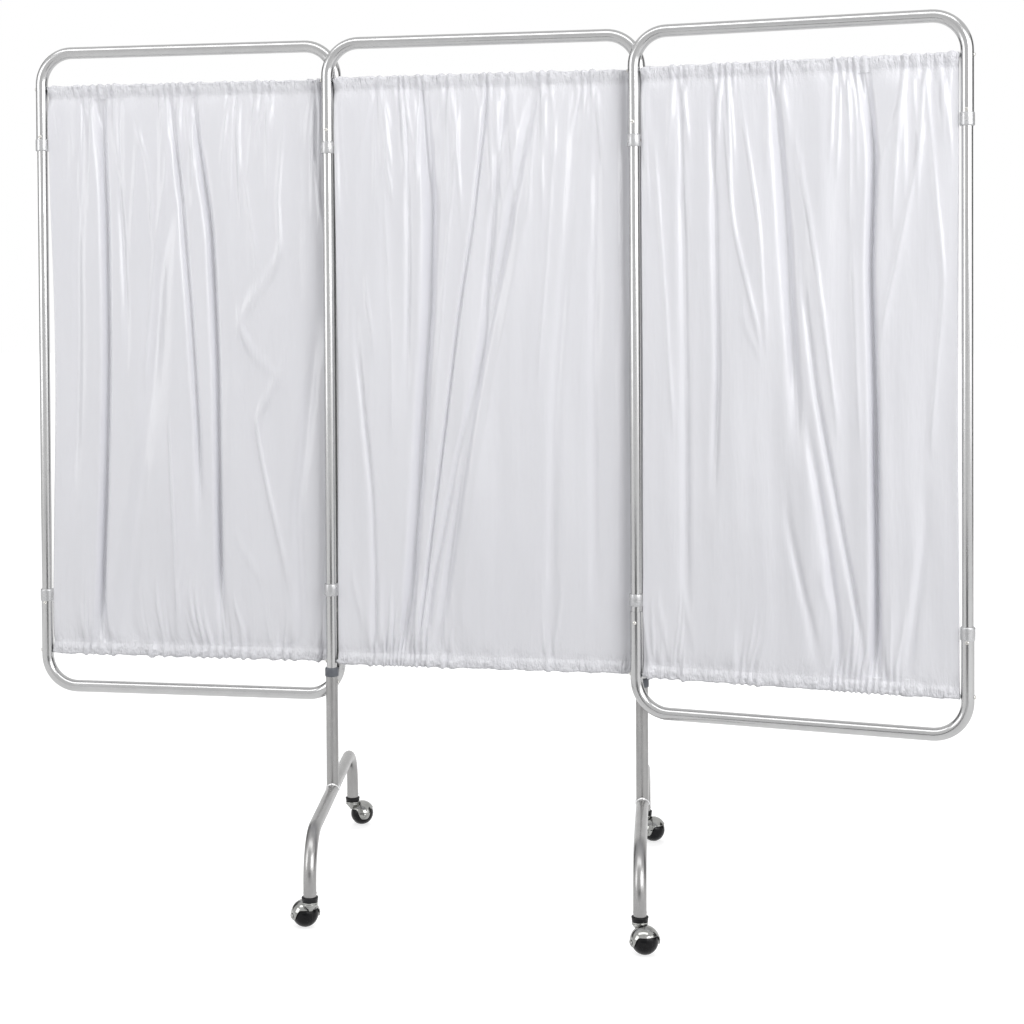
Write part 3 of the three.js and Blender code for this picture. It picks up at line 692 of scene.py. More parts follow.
def weld_points(piece, distance=1e-6):
    """Joins the coincident points of a piece's mesh and turns its faces outwards."""
    body = bmesh.new()
    body.from_mesh(piece.data)
    bmesh.ops.remove_doubles(body, verts=body.verts, dist=distance)
    bmesh.ops.recalc_face_normals(body, faces=body.faces)
    body.to_mesh(piece.data)
    body.free()


HINGE_POSTS = {side: (MIDDLE_POST[side], f"hinge_upright_{side}") for side in ("left", "right")}
for side, (post, partner) in HINGE_POSTS.items():
    for which in ("upper", "lower"):
        node_name = f"{side}_{which}_hinge"
        place = upright_frame(centre(post), centre(partner))
        place.translation.z = low_z(node_name)
        shape = hinge_shape(high_z(node_name) - low_z(node_name))
        form = shape.points, shape.faces, None
        weld_points(node_piece(f"{node_name}_moulding", node_name, place, form, GREY_PLASTIC))
        print(side, which, "hinge collar: faces", len(shape.faces))

# %% [markdown]
# ## Screws
# Domed screws hold the rods from the outside of the tubes, small pins lock the tube joints, and
# a clamp screw sits in each hinge collar. Only the heads show, so only the heads are made: a
# turned dome whose crown gets a cross recess. Pressing the points down is cheaper than a boolean
# cut and leaves soft walls like those of a stamped recess. Screws of one panel are one piece.

# %% Screw heads
# The sizes are the radius and the height of each kind of head.
ROD_SCREW = 4.2 * MM, 3.4 * MM
LEG_SCREW = 4.2 * MM, 3.1 * MM
RAIL_PIN = 3.9 * MM, 2.0 * MM
CLAMP_SCREW = 2.2 * MM, 0.9 * MM
UPPER_PIN_RISE, LOWER_PIN_DROP = 24 * MM, 22 * MM


def cross_recess(points, reach, width, depth, top):
    """Presses a cross into the crown of a screw head by lowering the points inside it."""
    pressed = []
    for point in points:
        inside = min(abs(point.x), abs(point.y)) < width and max(abs(point.x), abs(point.y)) < reach
        pressed.append(point - Vector((0, 0, depth)) if inside and point.z > top * 0.35 else point)
    return pressed


def dome_head(radius, height, sides=32, steps=9):
    outline = [(0, height)]
    for k in range(1, steps):
        turn = math.pi / 2 * k / (steps - 1)
        outline.append((radius * math.sin(turn), height * max(math.cos(turn), 0.12)))
    outline += [(radius, 0), (0, 0)]
    points, faces, uvs = turned(outline[::-1], sides, loop=False)
    return cross_recess(points, radius * 0.55, radius * 0.17, height * 0.35, height), faces, uvs


def screw_group(name, heads, material, body, stands_for=()):
    """One piece made of several screw heads, each given as (point, axis, size)."""
    shape = Shape()
    for point, axis, size in heads:
        points, faces, uvs = dome_head(*size)
        shape.add(placed(points, about(point, axis)), faces, uvs)
    return make_piece(name, shape.points, shape.faces, material, body, stands_for, shape.uvs)


def in_panel(panel, x, y, z):
    return PANEL_FRAME[panel] @ Vector((x, y, z))


def panel_axis(panel, direction):
    return PANEL_FRAME[panel].to_3x3() @ Vector(direction)


def rail_end_heads(panel):
    """Pins through the ends of the U rails, on the front face of the uprights."""
    heads = []
    heights = [TOP_RAIL - RAIL_LEG + UPPER_PIN_RISE]
    if panel != "middle":
        heights.append(BOTTOM_RAIL + RAIL_LEG - LOWER_PIN_DROP)
    for x in (0, SPACING):
        for z in heights:
            point = in_panel(panel, x, -TUBE + 0.2 * MM, z)
            heads.append((point, panel_axis(panel, (0, -1, 0)), RAIL_PIN))
    return heads


def rod_heads(panel):
    """Screws into the ends of both rods, on the outer sides of the uprights."""
    heads = []
    for height in (TOP_ROD, BOTTOM_ROD):
        radius = SLIM if panel == "middle" and height == BOTTOM_ROD else TUBE
        for x, way in ((-radius, -1), (SPACING + radius, 1)):
            point = in_panel(panel, x - way * 0.3 * MM, 0, height)
            heads.append((point, panel_axis(panel, (way, 0, 0)), ROD_SCREW))
    return heads


def clamp_heads(side, post, partner):
    """One clamp screw on each hinge collar of a side, and the direction that they face."""
    outward = (flat(centre(partner)) - flat(centre(post))).normalized()
    across = UP.cross(outward) * (-1 if side == "left" else 1)
    heads = []
    for which in ("upper", "lower"):
        middle = flat(centre(partner), centre(f"{side}_{which}_hinge")[2])
        heads.append((middle + across * (COLLAR - 0.3 * MM), across, CLAMP_SCREW))
    return heads


def leg_head(side):
    """The screw that holds a middle upright in its leg, across the line of the foot."""
    foot_line = flat(centre(f"front_{side}_caster_socket")) - flat(centre(f"rear_{side}_caster_socket"))
    along = UP.cross(foot_line).normalized() * (1 if side == "left" else -1)
    base = flat(centre(MIDDLE_POST[side]), centre(f"{side}_leg_screw")[2])
    return base + along * TUBE, along, LEG_SCREW


print("kinds of screw head, radius and height:", ROD_SCREW, LEG_SCREW, RAIL_PIN, CLAMP_SCREW)

# %% Screws of the panels, hinges and legs
for panel in PANELS:
    body = BODY_OF[f"top_rail_{panel}"]
    screw_group(f"{panel}_rod_screws", rod_heads(panel), SCREW_STEEL, body)
    screw_group(f"{panel}_rail_pins", rail_end_heads(panel), SCREW_STEEL, body)

for side, (post, partner) in HINGE_POSTS.items():
    body = BODY_OF[f"{side}_upper_hinge"]
    screw_group(f"{side}_hinge_screws", clamp_heads(side, post, partner), PIN_DARK, body)
    screw = f"{side}_leg_screw"
    name, body = f"{side}_leg_pan_screw", BODY_OF[screw]
    screw_group(name, [leg_head(side)], SCREW_STEEL, body, [screw])
    print(side, "side: clamp screws and leg screw in place")

# %% [markdown]
# ## Legs and feet
# Each leg is a tube that is cut to a saddle and welded onto a bent bow, whose open ends take the
# casters. The saddle could be cut with a boolean, but its height is known at every point, so the
# lower edge of the leg is simply drawn there. The weld bead is a ring with overlapping ripples,
# as each small pool of molten metal leaves one. It hides the joint, as it does on the real foot.

# %% Legs
def saddle_height(y):
    """Top of the bow's tube under the leg, for a point y across the bow."""
    return FOOT_TOP + math.sqrt(max((TUBE + 0.1 * MM) ** 2 - y * y, 0))


def leg_shape(leg_top, sides=48):
    """A leg of tube with its saddle: outer and inner wall, and the rings at both ends."""
    points, faces, uvs = [], [], []
    for radius in (TUBE, TUBE - WALL):
        for i in range(sides):
            turn = 2 * math.pi * i / sides
            x, y = radius * math.cos(turn), radius * math.sin(turn)
            points.append(Vector((x, y, saddle_height(y))))
            points.append(Vector((x, y, leg_top)))
    inner = 2 * sides
    around = 2 * math.pi * TUBE / sides
    for i in range(sides):
        j = (i + 1) % sides
        corner = [(i * around, 0), ((i + 1) * around, 0), ((i + 1) * around, leg_top), (i * around, leg_top)]
        faces.append((2 * i, 2 * j, 2 * j + 1, 2 * i + 1))
        uvs.append(corner)
        faces.append((inner + 2 * i + 1, inner + 2 * j + 1, inner + 2 * j, inner + 2 * i))
        uvs.append(corner[::-1])
        faces.append((2 * i + 1, 2 * j + 1, inner + 2 * j + 1, inner + 2 * i + 1))
        uvs.append(corner)
        faces.append((2 * j, 2 * i, inner + 2 * i, inner + 2 * j))
        uvs.append(corner)
    return points, faces, uvs


print("top of the bows:", round(FOOT_TOP + TUBE, 4))


# %% Weld beads
def weld_shape(rounds=96, sides=10):
    """A bead of overlapping ripples round the foot of the leg."""
    points, faces = [], []
    path = TUBE + 0.5 * MM
    for i in range(rounds):
        turn = 2 * math.pi * i / rounds
        ripple = 0.45 * abs(math.sin(turn * 13)) + 0.25 * math.sin(turn * 5 + 1.3)
        size = (2.0 + ripple) * MM
        out = Vector((math.cos(turn), math.sin(turn), 0))
        middle = out * path
        middle.z = saddle_height(middle.y) + 0.3 * MM
        for k in range(sides):
            roll = 2 * math.pi * k / sides
            points.append(middle + out * (size * math.cos(roll)) + UP * (size * math.sin(roll)))
    for i in range(rounds):
        nxt = (i + 1) % rounds
        for k in range(sides):
            m = (k + 1) % sides
            faces.append((i * sides + k, nxt * sides + k, nxt * sides + m, i * sides + m))
    return points, faces, no_uvs(faces)


print("faces of a weld bead:", len(weld_shape()[1]))

# %% Bows, legs and beads in place
FOOT_FRAME = {}
for side in ("left", "right"):
    front, rear = (centre(f"{end}_{side}_caster_socket") for end in ("front", "rear"))
    place = upright_frame(rear, front)
    span = (flat(front) - flat(rear)).length
    make_tube(f"{side}_foot_tube", f"{side}_foot_bow", place, bow_line(span), TUBE, WALL, LEG_STEEL_AND_PAINTED_SHADE)
    stand = Matrix.Translation(flat(centre(MIDDLE_POST[side]))) @ place.to_3x3().to_4x4()
    FOOT_FRAME[side] = stand
    leg = f"{side}_leg"
    node_piece(f"{side}_leg_tube", leg, stand, leg_shape(high_z(leg)), LEG_STEEL_AND_PAINTED_SHADE)
    bead = f"{side}_weld_bead"
    weld_points(node_piece(f"{side}_weld_ripples", bead, stand, weld_shape(), WELD_METAL, crease=60))
    print(side, "foot: axle to axle", round(span, 4))

# %% [markdown]
# ## Casters
# A ball caster turns under a black cup that holds its stem. A chrome hood covers the black ball
# like a cap, with two ears that come down to a riveted axle, and a turned boss on top of it.
# The cup, the axle and the ball are turned profiles. The hood isn't round, as its rim dips at
# the ears, so it is a piece of a sphere whose rim angle changes on the way round. The boss is
# turned too, and its lower points are pushed out of the ball's room.

# %% Profiles of the caster
BALL = 25.4 * MM
HUB = 24.4 * MM
BORE_AT_STEM, BORE_AT_AXLE = 6.4 * MM, 3.3 * MM
TRAIL = 22 * MM
HOOD_IN = BALL + 1.9 * MM
HOOD_OUT = HOOD_IN + 1.1 * MM


def cup_outline():
    """The cup under the end of a bow, with the plug that sits inside the tube."""
    bottom, top = 55.6 * MM, 65 * MM
    plug = TUBE - WALL - GAP
    return rounded([
        (BORE_AT_STEM, bottom), (14.6 * MM, bottom, 1), (15.4 * MM, bottom + 1.4 * MM, 1),
        (15.6 * MM, bottom + 5.4 * MM), (16.2 * MM, bottom + 6.6 * MM, 1), (16.2 * MM, top - 1.4 * MM, 1),
        (WIDE + 0.8 * MM, top, 1), (WIDE, top - 0.6 * MM), (WIDE, FOOT_END - GAP),
        (plug, FOOT_END - GAP), (plug, FOOT_END + 12 * MM), (BORE_AT_STEM, FOOT_END + 12 * MM),
    ], 0.7 * MM)


def boss_outline():
    """The stepped chrome boss between the cup and the hood."""
    top = 55.3 * MM
    return rounded([
        (0, top - 19 * MM), (6 * MM, top - 18 * MM), (8.6 * MM, top - 14 * MM), (12.6 * MM, top - 10 * MM),
        (14 * MM, top - 7.6 * MM, 1), (15.2 * MM, top - 6.6 * MM, 1), (15.2 * MM, top - 4.2 * MM, 1),
        (14.7 * MM, top - 3.6 * MM), (15.6 * MM, top - 2.8 * MM, 1), (15.6 * MM, top - 0.7 * MM, 1),
        (14.8 * MM, top, 1), (0, top),
    ], 0.8 * MM)


def rivet_outline(seat):
    """A headed axle: a ring groove and a dimple on each domed head."""
    radius = 5.2 * MM
    head = [
        (3 * MM, seat), (radius, seat), (radius, seat + 0.6 * MM), (radius - 0.7 * MM, seat + 1.1 * MM),
        (3.5 * MM, seat + 1.3 * MM), (3.1 * MM, seat + 0.95 * MM), (2.6 * MM, seat + 1.3 * MM),
        (1.3 * MM, seat + 1.25 * MM), (0.7 * MM, seat + 0.9 * MM), (0, seat + 0.85 * MM),
    ]
    return [(r, -z) for r, z in reversed(head)] + head


def ball_outline(steps=26):
    """A ball with a narrow flat tread, a fine groove beside the tread and a flat hub round the axle."""
    tread, hub = math.asin(4 * MM / BALL), math.asin(HUB / BALL)
    half = []
    for k in range(steps + 1):
        angle = tread + (hub - tread) * k / steps
        half.append((BALL * math.cos(angle), BALL * math.sin(angle)))
    half.insert(0, (BALL, BALL * math.sin(tread) * 0.9))
    half += [(8 * MM, 24.0 * MM), (7.4 * MM, HUB), (BORE_AT_AXLE, HUB)]
    return [(r, -z) for r, z in reversed(half)] + half


print("corners of the cup, boss and ball profiles:",
      len(cup_outline()), len(boss_outline()), len(ball_outline()))


# %% Hood and boss
def hood_rim(turn):
    """Angle from the top of the hood to its rim, deeper at the two ears."""
    from_axle = math.acos(min(1, abs(math.sin(turn))))
    ear = math.radians(44) * math.exp(-((from_axle / math.radians(30)) ** 4))
    return math.radians(62) + ear


def hood_shell(rounds=96, steps=22):
    """The spherical hood, with its trail along +x and its axle along y, and a rolled rim."""
    profile = [(HOOD_OUT, step / steps) for step in range(1, steps + 1)]
    profile += [((HOOD_OUT + HOOD_IN) / 2, 1.0 + 0.5 * MM / (HOOD_OUT * 1.1))]
    profile += [(HOOD_IN, step / steps) for step in range(steps, 0, -1)]
    points, faces = [Vector((TRAIL, 0, BALL + HOOD_OUT))], []
    for radius, share in profile:
        for i in range(rounds):
            turn = 2 * math.pi * i / rounds
            tilt = hood_rim(turn) * share
            flat_radius = radius * math.sin(tilt)
            x, y = TRAIL + flat_radius * math.cos(turn), flat_radius * math.sin(turn)
            points.append(Vector((x, y, BALL + radius * math.cos(tilt))))
    points.append(Vector((TRAIL, 0, BALL + HOOD_IN)))
    for i in range(rounds):
        j = (i + 1) % rounds
        faces.append((0, 1 + i, 1 + j))
        for row in range(len(profile) - 1):
            a, b = 1 + row * rounds, 1 + (row + 1) * rounds
            faces.append((a + i, b + i, b + j, a + j))
        last = 1 + (len(profile) - 1) * rounds
        faces.append((len(points) - 1, last + j, last + i))
    return points, faces, no_uvs(faces)


def trimmed_boss():
    """The boss stops at the hood: its lower points are pushed out of the ball's room."""
    points, faces, uvs = turned(boss_outline(), 64, loop=False)
    middle = Vector((TRAIL, 0, BALL))
    room = (HOOD_IN + HOOD_OUT) / 2
    kept = []
    for point in points:
        away = point - middle
        kept.append(middle + away.normalized() * room if away.length < room else point)
    return kept, faces, uvs


print("faces of a hood:", len(hood_shell()[1]))

# %% Casters in place
for place_name in PLACES:
    names = {part: f"{place_name}_caster_{part}" for part in ("socket", "stem", "hood", "axle", "ball")}
    stem_at = flat(centre(names["stem"]))
    caster = upright_frame(stem_at, centre(names["ball"]))
    across = caster @ about((TRAIL, 0, BALL), (0, 1, 0))
    upright = Matrix.Translation(stem_at)
    node_piece(f"{place_name}_cup", names["socket"], upright, turned(cup_outline()), BLACK_PLASTIC)
    shape = Shape()
    shape.add(*hood_shell())
    shape.add(*trimmed_boss())
    form = shape.points, shape.faces, None
    node_piece(f"{place_name}_chrome_hood", names["hood"], caster, form, CHROME, crease=50)
    axle = turned(rivet_outline(HOOD_OUT + 0.1 * MM), 40, loop=False)
    node_piece(f"{place_name}_riveted_axle", names["axle"], across, axle, CHROME)
    ball = turned(ball_outline(), 96)
    node_piece(f"{place_name}_rubber_ball", names["ball"], across, ball, BALL_RUBBER, crease=28)
    print(place_name, "caster: faces of hood and ball", len(shape.faces), len(ball[1]))

# %% [markdown]
# ## Crimp marks
# A foot tube is punched in four places so that it bites into the plug of the cup. Each mark is a
# small ring with a dip. It could be a bump in the finish, but a turned ring catches the light.

# %% Crimp marks above the cups
CRIMP_HEIGHT = 71.5 * MM


def crimp_mark(point, axis):
    """A small punched ring that holds the cup's plug in the tube."""
    outline = [
        (0, 0.02 * MM), (0.9 * MM, 0.05 * MM), (1.3 * MM, 0.35 * MM), (1.8 * MM, 0.3 * MM),
        (2.2 * MM, 0), (0, -0.3 * MM),
    ]
    points, faces, uvs = turned(outline[::-1], 24, loop=False)
    return placed(points, about(point, axis)), faces, uvs


for side in ("left", "right"):
    shape = Shape()
    for end in ("front", "rear"):
        foot = flat(centre(f"{end}_{side}_caster_socket"), CRIMP_HEIGHT)
        for way in (-1, 1):
            sideways = FOOT_FRAME[side].to_3x3() @ Vector((0, way, 0))
            shape.add(*crimp_mark(foot + sideways * (TUBE - 0.15 * MM), sideways))
    bow = f"{side}_foot_bow"
    name = f"{side}_foot_crimps"
    make_piece(name, shape.points, shape.faces, PIN_DARK, BODY_OF[bow], uvs=shape.uvs)
    print(name, "faces:", len(shape.faces))

# %% [markdown]
# ## Curtains
# Each curtain is one sheet of vinyl, cut about a twelfth wider than its panel. Its hems wrap the rods,
# and the spare width is pushed into gathers. Between the rods most of the sheet hangs nearly flat,
# and the spare width goes into a few deep tucks with finer creases beside them.
# A cloth simulation makes folds too, but not at chosen places. Here the main folds are drawn where
# they hang on the real screen, and a short relaxation then makes the sheet keep its cut size.
# The numbers below give the size of each sheet, how far it may swing, and how fine its grid is.

# %% Sizes of the sheets
COLUMNS = 270
HANGING_ROWS = 132
CLOTH = 0.4 * MM
FULLNESS = 1.085
CALM_FULLNESS = 1.006
SIDE_GAP = TUBE + 2.3 * MM
CURTAIN_WIDTH = SPACING - 2 * SIDE_GAP
CUT_WIDTH = FULLNESS * CURTAIN_WIDTH
HEM = 21 * MM
CRINKLE_REACH = 22 * MM
FRONT_SWING, BACK_SWING = 13 * MM, 21 * MM
TOP_SEAM = TOP_ROD - HEM
LOW_SEAM = BOTTOM_ROD + HEM
DROP = TOP_SEAM - LOW_SEAM
SLACK = 1.0016
RELAX_SWEEPS, QUICK_SWEEPS = 150, 12
PULLED_IN = {"left": (11 * MM, 3 * MM), "middle": (2 * MM, 2 * MM), "right": (2 * MM, 3 * MM)}
SEEDS = {"left": 11, "middle": 23, "right": 37}
print("cut width", round(CUT_WIDTH, 4), "width", round(CURTAIN_WIDTH, 4), "drop", round(DROP, 4))

# %% [markdown]
# ## Where the folds are
# On the real curtain the hem slides on its rod and bunches up in some places, and the folds start
# there. A thread that starts in a gather at the top often ends elsewhere at the bottom, which is
# what slants the folds. They could be left to chance, but then the curtain would be another one.
# GATHERS lists the bunched stretches as (start, end, strength), in shares of the rod's length.
# TUCKS and CREASES list the folds as (depth, breadth, course), in millimetres, with the course as
# points of (share of the width, share of the drop). Tucks go to the back, creases to the front.

# %% Gathers, tucks and creases
GATHERS = {
    "left": {
        "top": [(0, 0.02, 0.5), (0.11, 0.24, 1), (0.4, 0.49, 1.2), (0.51, 0.55, 0.9),
                (0.64, 0.68, 0.9), (0.73, 0.81, 1), (0.93, 0.99, 0.9)],
        "bottom": [(0.106, 0.155, 1.5), (0.155, 0.234, 0.8), (0.347, 0.445, 0.7), (0.5, 0.72, 1.1),
                   (0.787, 0.878, 0.9), (0.948, 1, 0.8)],
    },
    "middle": {
        "top": [(0, 0.02, 0.6), (0.138, 0.172, 0.9), (0.21, 0.254, 1.4), (0.289, 0.316, 1.8),
                (0.364, 0.412, 1), (0.494, 0.549, 1.4), (0.57, 0.604, 0.8), (0.673, 0.734, 0.9),
                (0.817, 0.885, 1)],
        "bottom": [(0.112, 0.14, 1.2), (0.155, 0.235, 1.8), (0.245, 0.275, 1.6), (0.285, 0.31, 1.5),
                   (0.345, 0.399, 0.5), (0.695, 0.736, 0.4)],
    },
    "right": {
        "top": [(0, 0.02, 0.5), (0.1, 0.15, 1.1), (0.243, 0.31, 1.3), (0.418, 0.461, 1.6),
                (0.619, 0.723, 1.3), (0.824, 0.857, 1.2), (0.871, 0.978, 0.7)],
        "bottom": [(0, 0.134, 0.6), (0.3, 0.374, 0.9), (0.605, 0.826, 1.3)],
    },
}
TUCKS = {
    "left": [
        (14, 9, [(0.19, 0), (0.195, 0.2), (0.19, 0.45), (0.18, 0.7), (0.165, 1)]),
        (9, 7, [(0.44, 0), (0.47, 0.17), (0.5, 0.4), (0.52, 0.6), (0.527, 0.72)]),
        (13, 8, [(0.515, 0), (0.575, 0.24), (0.59, 0.5), (0.595, 0.7), (0.6, 0.92)]),
        (6, 20, [(0.46, 0.15), (0.4, 0.3), (0.33, 0.6), (0.25, 1)]),
        (4, 13, [(0.13, 0), (0.09, 0.3), (0.07, 0.7)]),
        (5, 14, [(0.95, 0.45), (0.88, 0.75), (0.9, 1)]),
        (4, 7, [(0.25, 0), (0.26, 0.3), (0.265, 0.42)]),
    ],
    "middle": [
        (17, 12, [(0.3, 0), (0.325, 0.19), (0.317, 0.38), (0.293, 0.56), (0.268, 0.76), (0.236, 1)]),
        (6, 4, [(0.524, 0), (0.47, 0.24), (0.42, 0.4), (0.375, 0.58), (0.325, 0.78), (0.276, 1)]),
        (7, 7, [(0.585, 0), (0.545, 0.2), (0.5, 0.45), (0.42, 0.64), (0.325, 0.88), (0.295, 1)]),
        (8, 9, [(0.68, 0), (0.6, 0.22), (0.52, 0.42), (0.455, 0.6), (0.38, 0.85), (0.34, 1)]),
        (5, 12, [(0.82, 0), (0.78, 0.3), (0.74, 0.55), (0.725, 0.92)]),
        (5, 6, [(0.07, 0.45), (0.12, 0.72), (0.135, 1)]),
        (3.5, 10, [(0.89, 0), (0.87, 0.5), (0.87, 0.9)]),
        (4, 6, [(0.25, 0), (0.25, 0.3), (0.24, 0.5)]),
    ],
    "right": [
        (11, 11, [(0.43, 0), (0.46, 0.22), (0.475, 0.36), (0.5, 0.56)]),
        (5, 6, [(0.525, 0.36), (0.565, 0.53), (0.64, 0.76), (0.73, 1)]),
        (15, 8, [(0.715, 0), (0.742, 0.14), (0.732, 0.32), (0.745, 0.57), (0.748, 1)]),
        (5, 9, [(0.13, 0), (0.14, 0.5), (0.14, 0.88)]),
        (6, 7, [(0.235, 0.04), (0.247, 0.5), (0.235, 0.66)]),
        (5, 8, [(0.47, 0.74), (0.52, 0.86), (0.59, 1)]),
        (6, 8, [(0.54, 0.6), (0.58, 0.72), (0.65, 1)]),
        (5, 9, [(0.9, 0.75), (0.84, 1)]),
    ],
}
CREASES = {
    "left": [
        (2.4, 4, [(0.3, 0.03), (0.36, 0.12), (0.37, 0.25)]),
        (2, 4, [(0.33, 0.05), (0.29, 0.26)]),
        (2.6, 6, [(0.43, 0.12), (0.37, 0.3), (0.33, 0.5)]),
        (3.4, 6, [(0.84, 0.06), (0.82, 0.19), (0.83, 0.3), (0.67, 0.41)]),
        (3, 6, [(0.67, 0.41), (0.74, 0.49), (0.84, 0.5)]),
        (3, 6, [(0.84, 0.5), (0.73, 0.58), (0.77, 0.7), (0.85, 0.88)]),
        (2.2, 4, [(0.69, 0.12), (0.74, 0.28)]),
        (2.4, 5, [(0.66, 0.82), (0.75, 0.86)]),
        (2.2, 4, [(0.74, 0.03), (0.76, 0.12)]),
        (2.4, 5, [(0.63, 0.53), (0.7, 0.515)]),
        (2, 4, [(0.42, 0.6), (0.44, 0.8), (0.45, 0.95)]),
        (2.4, 5, [(0.22, 0.48), (0.25, 0.41)]),
        (2.2, 4, [(0.93, 0.05), (0.98, 0.24)]),
        (2.6, 5, [(0.65, 0.93), (0.7, 0.99)]),
    ],
    "middle": [
        (4.5, 17, [(0.7, 0.12), (0.62, 0.3), (0.54, 0.5), (0.46, 0.75), (0.42, 0.97)]),
        (2.2, 4, [(0.43, 0.03), (0.37, 0.35), (0.33, 0.6)]),
        (2.2, 5, [(0.64, 0.04), (0.56, 0.25), (0.5, 0.5)]),
        (2.6, 4, [(0.13, 0.02), (0.08, 0.1)]),
        (2.4, 4, [(0.19, 0.04), (0.17, 0.14), (0.2, 0.175)]),
        (2, 4, [(0.1, 0.34), (0.13, 0.45)]),
        (2.4, 7, [(0.95, 0.05), (0.96, 0.4), (0.95, 0.85)]),
        (2.4, 4, [(0.05, 0.87), (0.09, 0.95)]),
        (2, 5, [(0.36, 0.08), (0.37, 0.2), (0.35, 0.35)]),
        (2, 5, [(0.75, 0.05), (0.72, 0.3), (0.69, 0.5)]),
        (1.8, 5, [(0.17, 0.2), (0.19, 0.45), (0.19, 0.6)]),
    ],
    "right": [
        (2.6, 4, [(0.27, 0.03), (0.3, 0.25), (0.385, 0.435)]),
        (2.6, 4, [(0.33, 0.05), (0.385, 0.25), (0.403, 0.43)]),
        (2.2, 4, [(0.33, 0.4), (0.37, 0.51), (0.39, 0.45)]),
        (2.6, 5, [(0.5, 0.12), (0.55, 0.25), (0.6, 0.45), (0.63, 0.58)]),
        (3, 6, [(0.9, 0.08), (0.82, 0.3), (0.77, 0.42)]),
        (2.4, 4, [(0.84, 0.04), (0.76, 0.15)]),
        (2.4, 5, [(0.9, 0.02), (0.96, 0.35), (0.92, 0.6)]),
        (3, 6, [(0.6, 0.8), (0.57, 0.85), (0.65, 0.92)]),
        (3, 7, [(0.05, 0.9), (0.09, 0.98)]),
        (3, 6, [(0.13, 0.88), (0.18, 0.97)]),
        (3, 8, [(0.38, 0.97), (0.42, 0.92), (0.52, 0.93)]),
        (2, 4, [(0.04, 0.1), (0.05, 0.15), (0.09, 0.5), (0.1, 0.57)]),
        (2.2, 6, [(0.68, 0.3), (0.69, 0.45), (0.7, 0.6)]),
    ],
}
print("tucks:", sum(len(rows) for rows in TUCKS.values()),
      "creases:", sum(len(rows) for rows in CREASES.values()))

# %% [markdown]
# ## Pleats along the rods
# Where the hem is bunched up, it stands in small pleats, close together where it is tight.
# One way is to model each pleat. Another is to count how much cut width each stretch of the rod
# uses, and to run a wave over it that is just long enough. The second way is used, because it
# keeps the cut width right. The columns of the grid are also set closer together in the gathers.

# %% Pleats along the rods
# Cut width of a pleat in millimetres where the hem is bunched up, and what a calm stretch adds to it.
TIGHT_PLEAT, CALM_EXTRA = 12, 44
PLEAT_LIMIT = 4 * MM
FINE_STEPS = 2001


def gathered(gathers):
    """Along a rod: the share of its length, the cut width used up so far, and the fullness there."""
    share = np.linspace(0, 1, FINE_STEPS)
    crowd = np.zeros_like(share)
    for start, end, strength in gathers:
        crowd += strength * (np.tanh((share - start) / 0.006) - np.tanh((share - end) / 0.006)) / 2
    crowd *= (FULLNESS - CALM_FULLNESS) / crowd.mean()
    cut = np.cumsum(CALM_FULLNESS + crowd)
    return share, (cut - cut[0]) / (cut[-1] - cut[0]) * CUT_WIDTH, CALM_FULLNESS + crowd


def column_places(panel):
    """Cut coordinate of each column of the sheet, closer together where either rod gathers it."""
    cut = np.linspace(0, CUT_WIDTH, FINE_STEPS)
    density = np.ones_like(cut)
    for gathers in GATHERS[panel].values():
        _, whole, full = gathered(gathers)
        density += 1.1 * (np.interp(cut, whole, full) - 1)
    count = np.cumsum(density) - density[0]
    return np.interp(np.linspace(0, count[-1], COLUMNS), count, cut)


def seeded_line(cut, knots, low, high, seed):
    """A number that wanders between low and high along the cut width."""
    values = np.random.default_rng(seed).uniform(low, high, knots)
    return np.interp(cut, np.linspace(0, CUT_WIDTH, knots), values)


def wave_phase(cut, length):
    return np.concatenate([[0], np.cumsum(2 * math.pi * np.diff(cut) / length[1:])])


def wave_size(full, length):
    """Half height of a wave that uses up the fullness over its length of cut width."""
    spare = np.maximum(full - 1, 0)
    return np.sqrt(spare) * (1 + 0.22 * spare) * length / full / math.pi


def gather_pleats(panel, end, cut, seed):
    """Place of each thread along one rod, and the phase and size of the small pleats there."""
    share, whole, full = gathered(GATHERS[panel][end])
    place = np.interp(cut, whole, share) * CURTAIN_WIDTH
    here = np.interp(cut, whole, full)
    calm = np.exp(-(here - CALM_FULLNESS) / 0.1)
    length = (TIGHT_PLEAT + CALM_EXTRA * calm) * MM * seeded_line(cut, 60, 0.75, 1.3, seed)
    size = np.minimum(wave_size(here, length), PLEAT_LIMIT) * seeded_line(cut, 90, 0.6, 1.15, seed + 1)
    return place, wave_phase(cut, length), size


for panel in PANELS:
    narrowest = np.diff(column_places(panel)).min()
    print(panel, "curtain: narrowest column", round(float(narrowest / MM), 2), "mm")

# %% [markdown]
# ## Drawing the folds
# A hanging fold of vinyl starts at a gather, runs down in a slow curve and fades out. Fine creases
# fan out of every gather, and the sheet between them is never quite flat. All of these are drawn
# as depth over the panel: bells for the tucks, sharp ridges for the creases and slow waves.
# Displacing a flat sheet like that would stretch it. So each row is laid out by its own length,
# and its swing is set so that the row uses exactly the cut width.

# %% Courses of the folds
def softened(row, spread):
    """A row of numbers blurred over a number of steps, with its ends held."""
    reach = 3 * spread
    weights = np.exp(-0.5 * (np.arange(-reach, reach + 1) / spread) ** 2)
    padded = np.concatenate([np.full(reach, row[0]), row, np.full(reach, row[-1])])
    return np.convolve(padded, weights / weights.sum(), "valid")


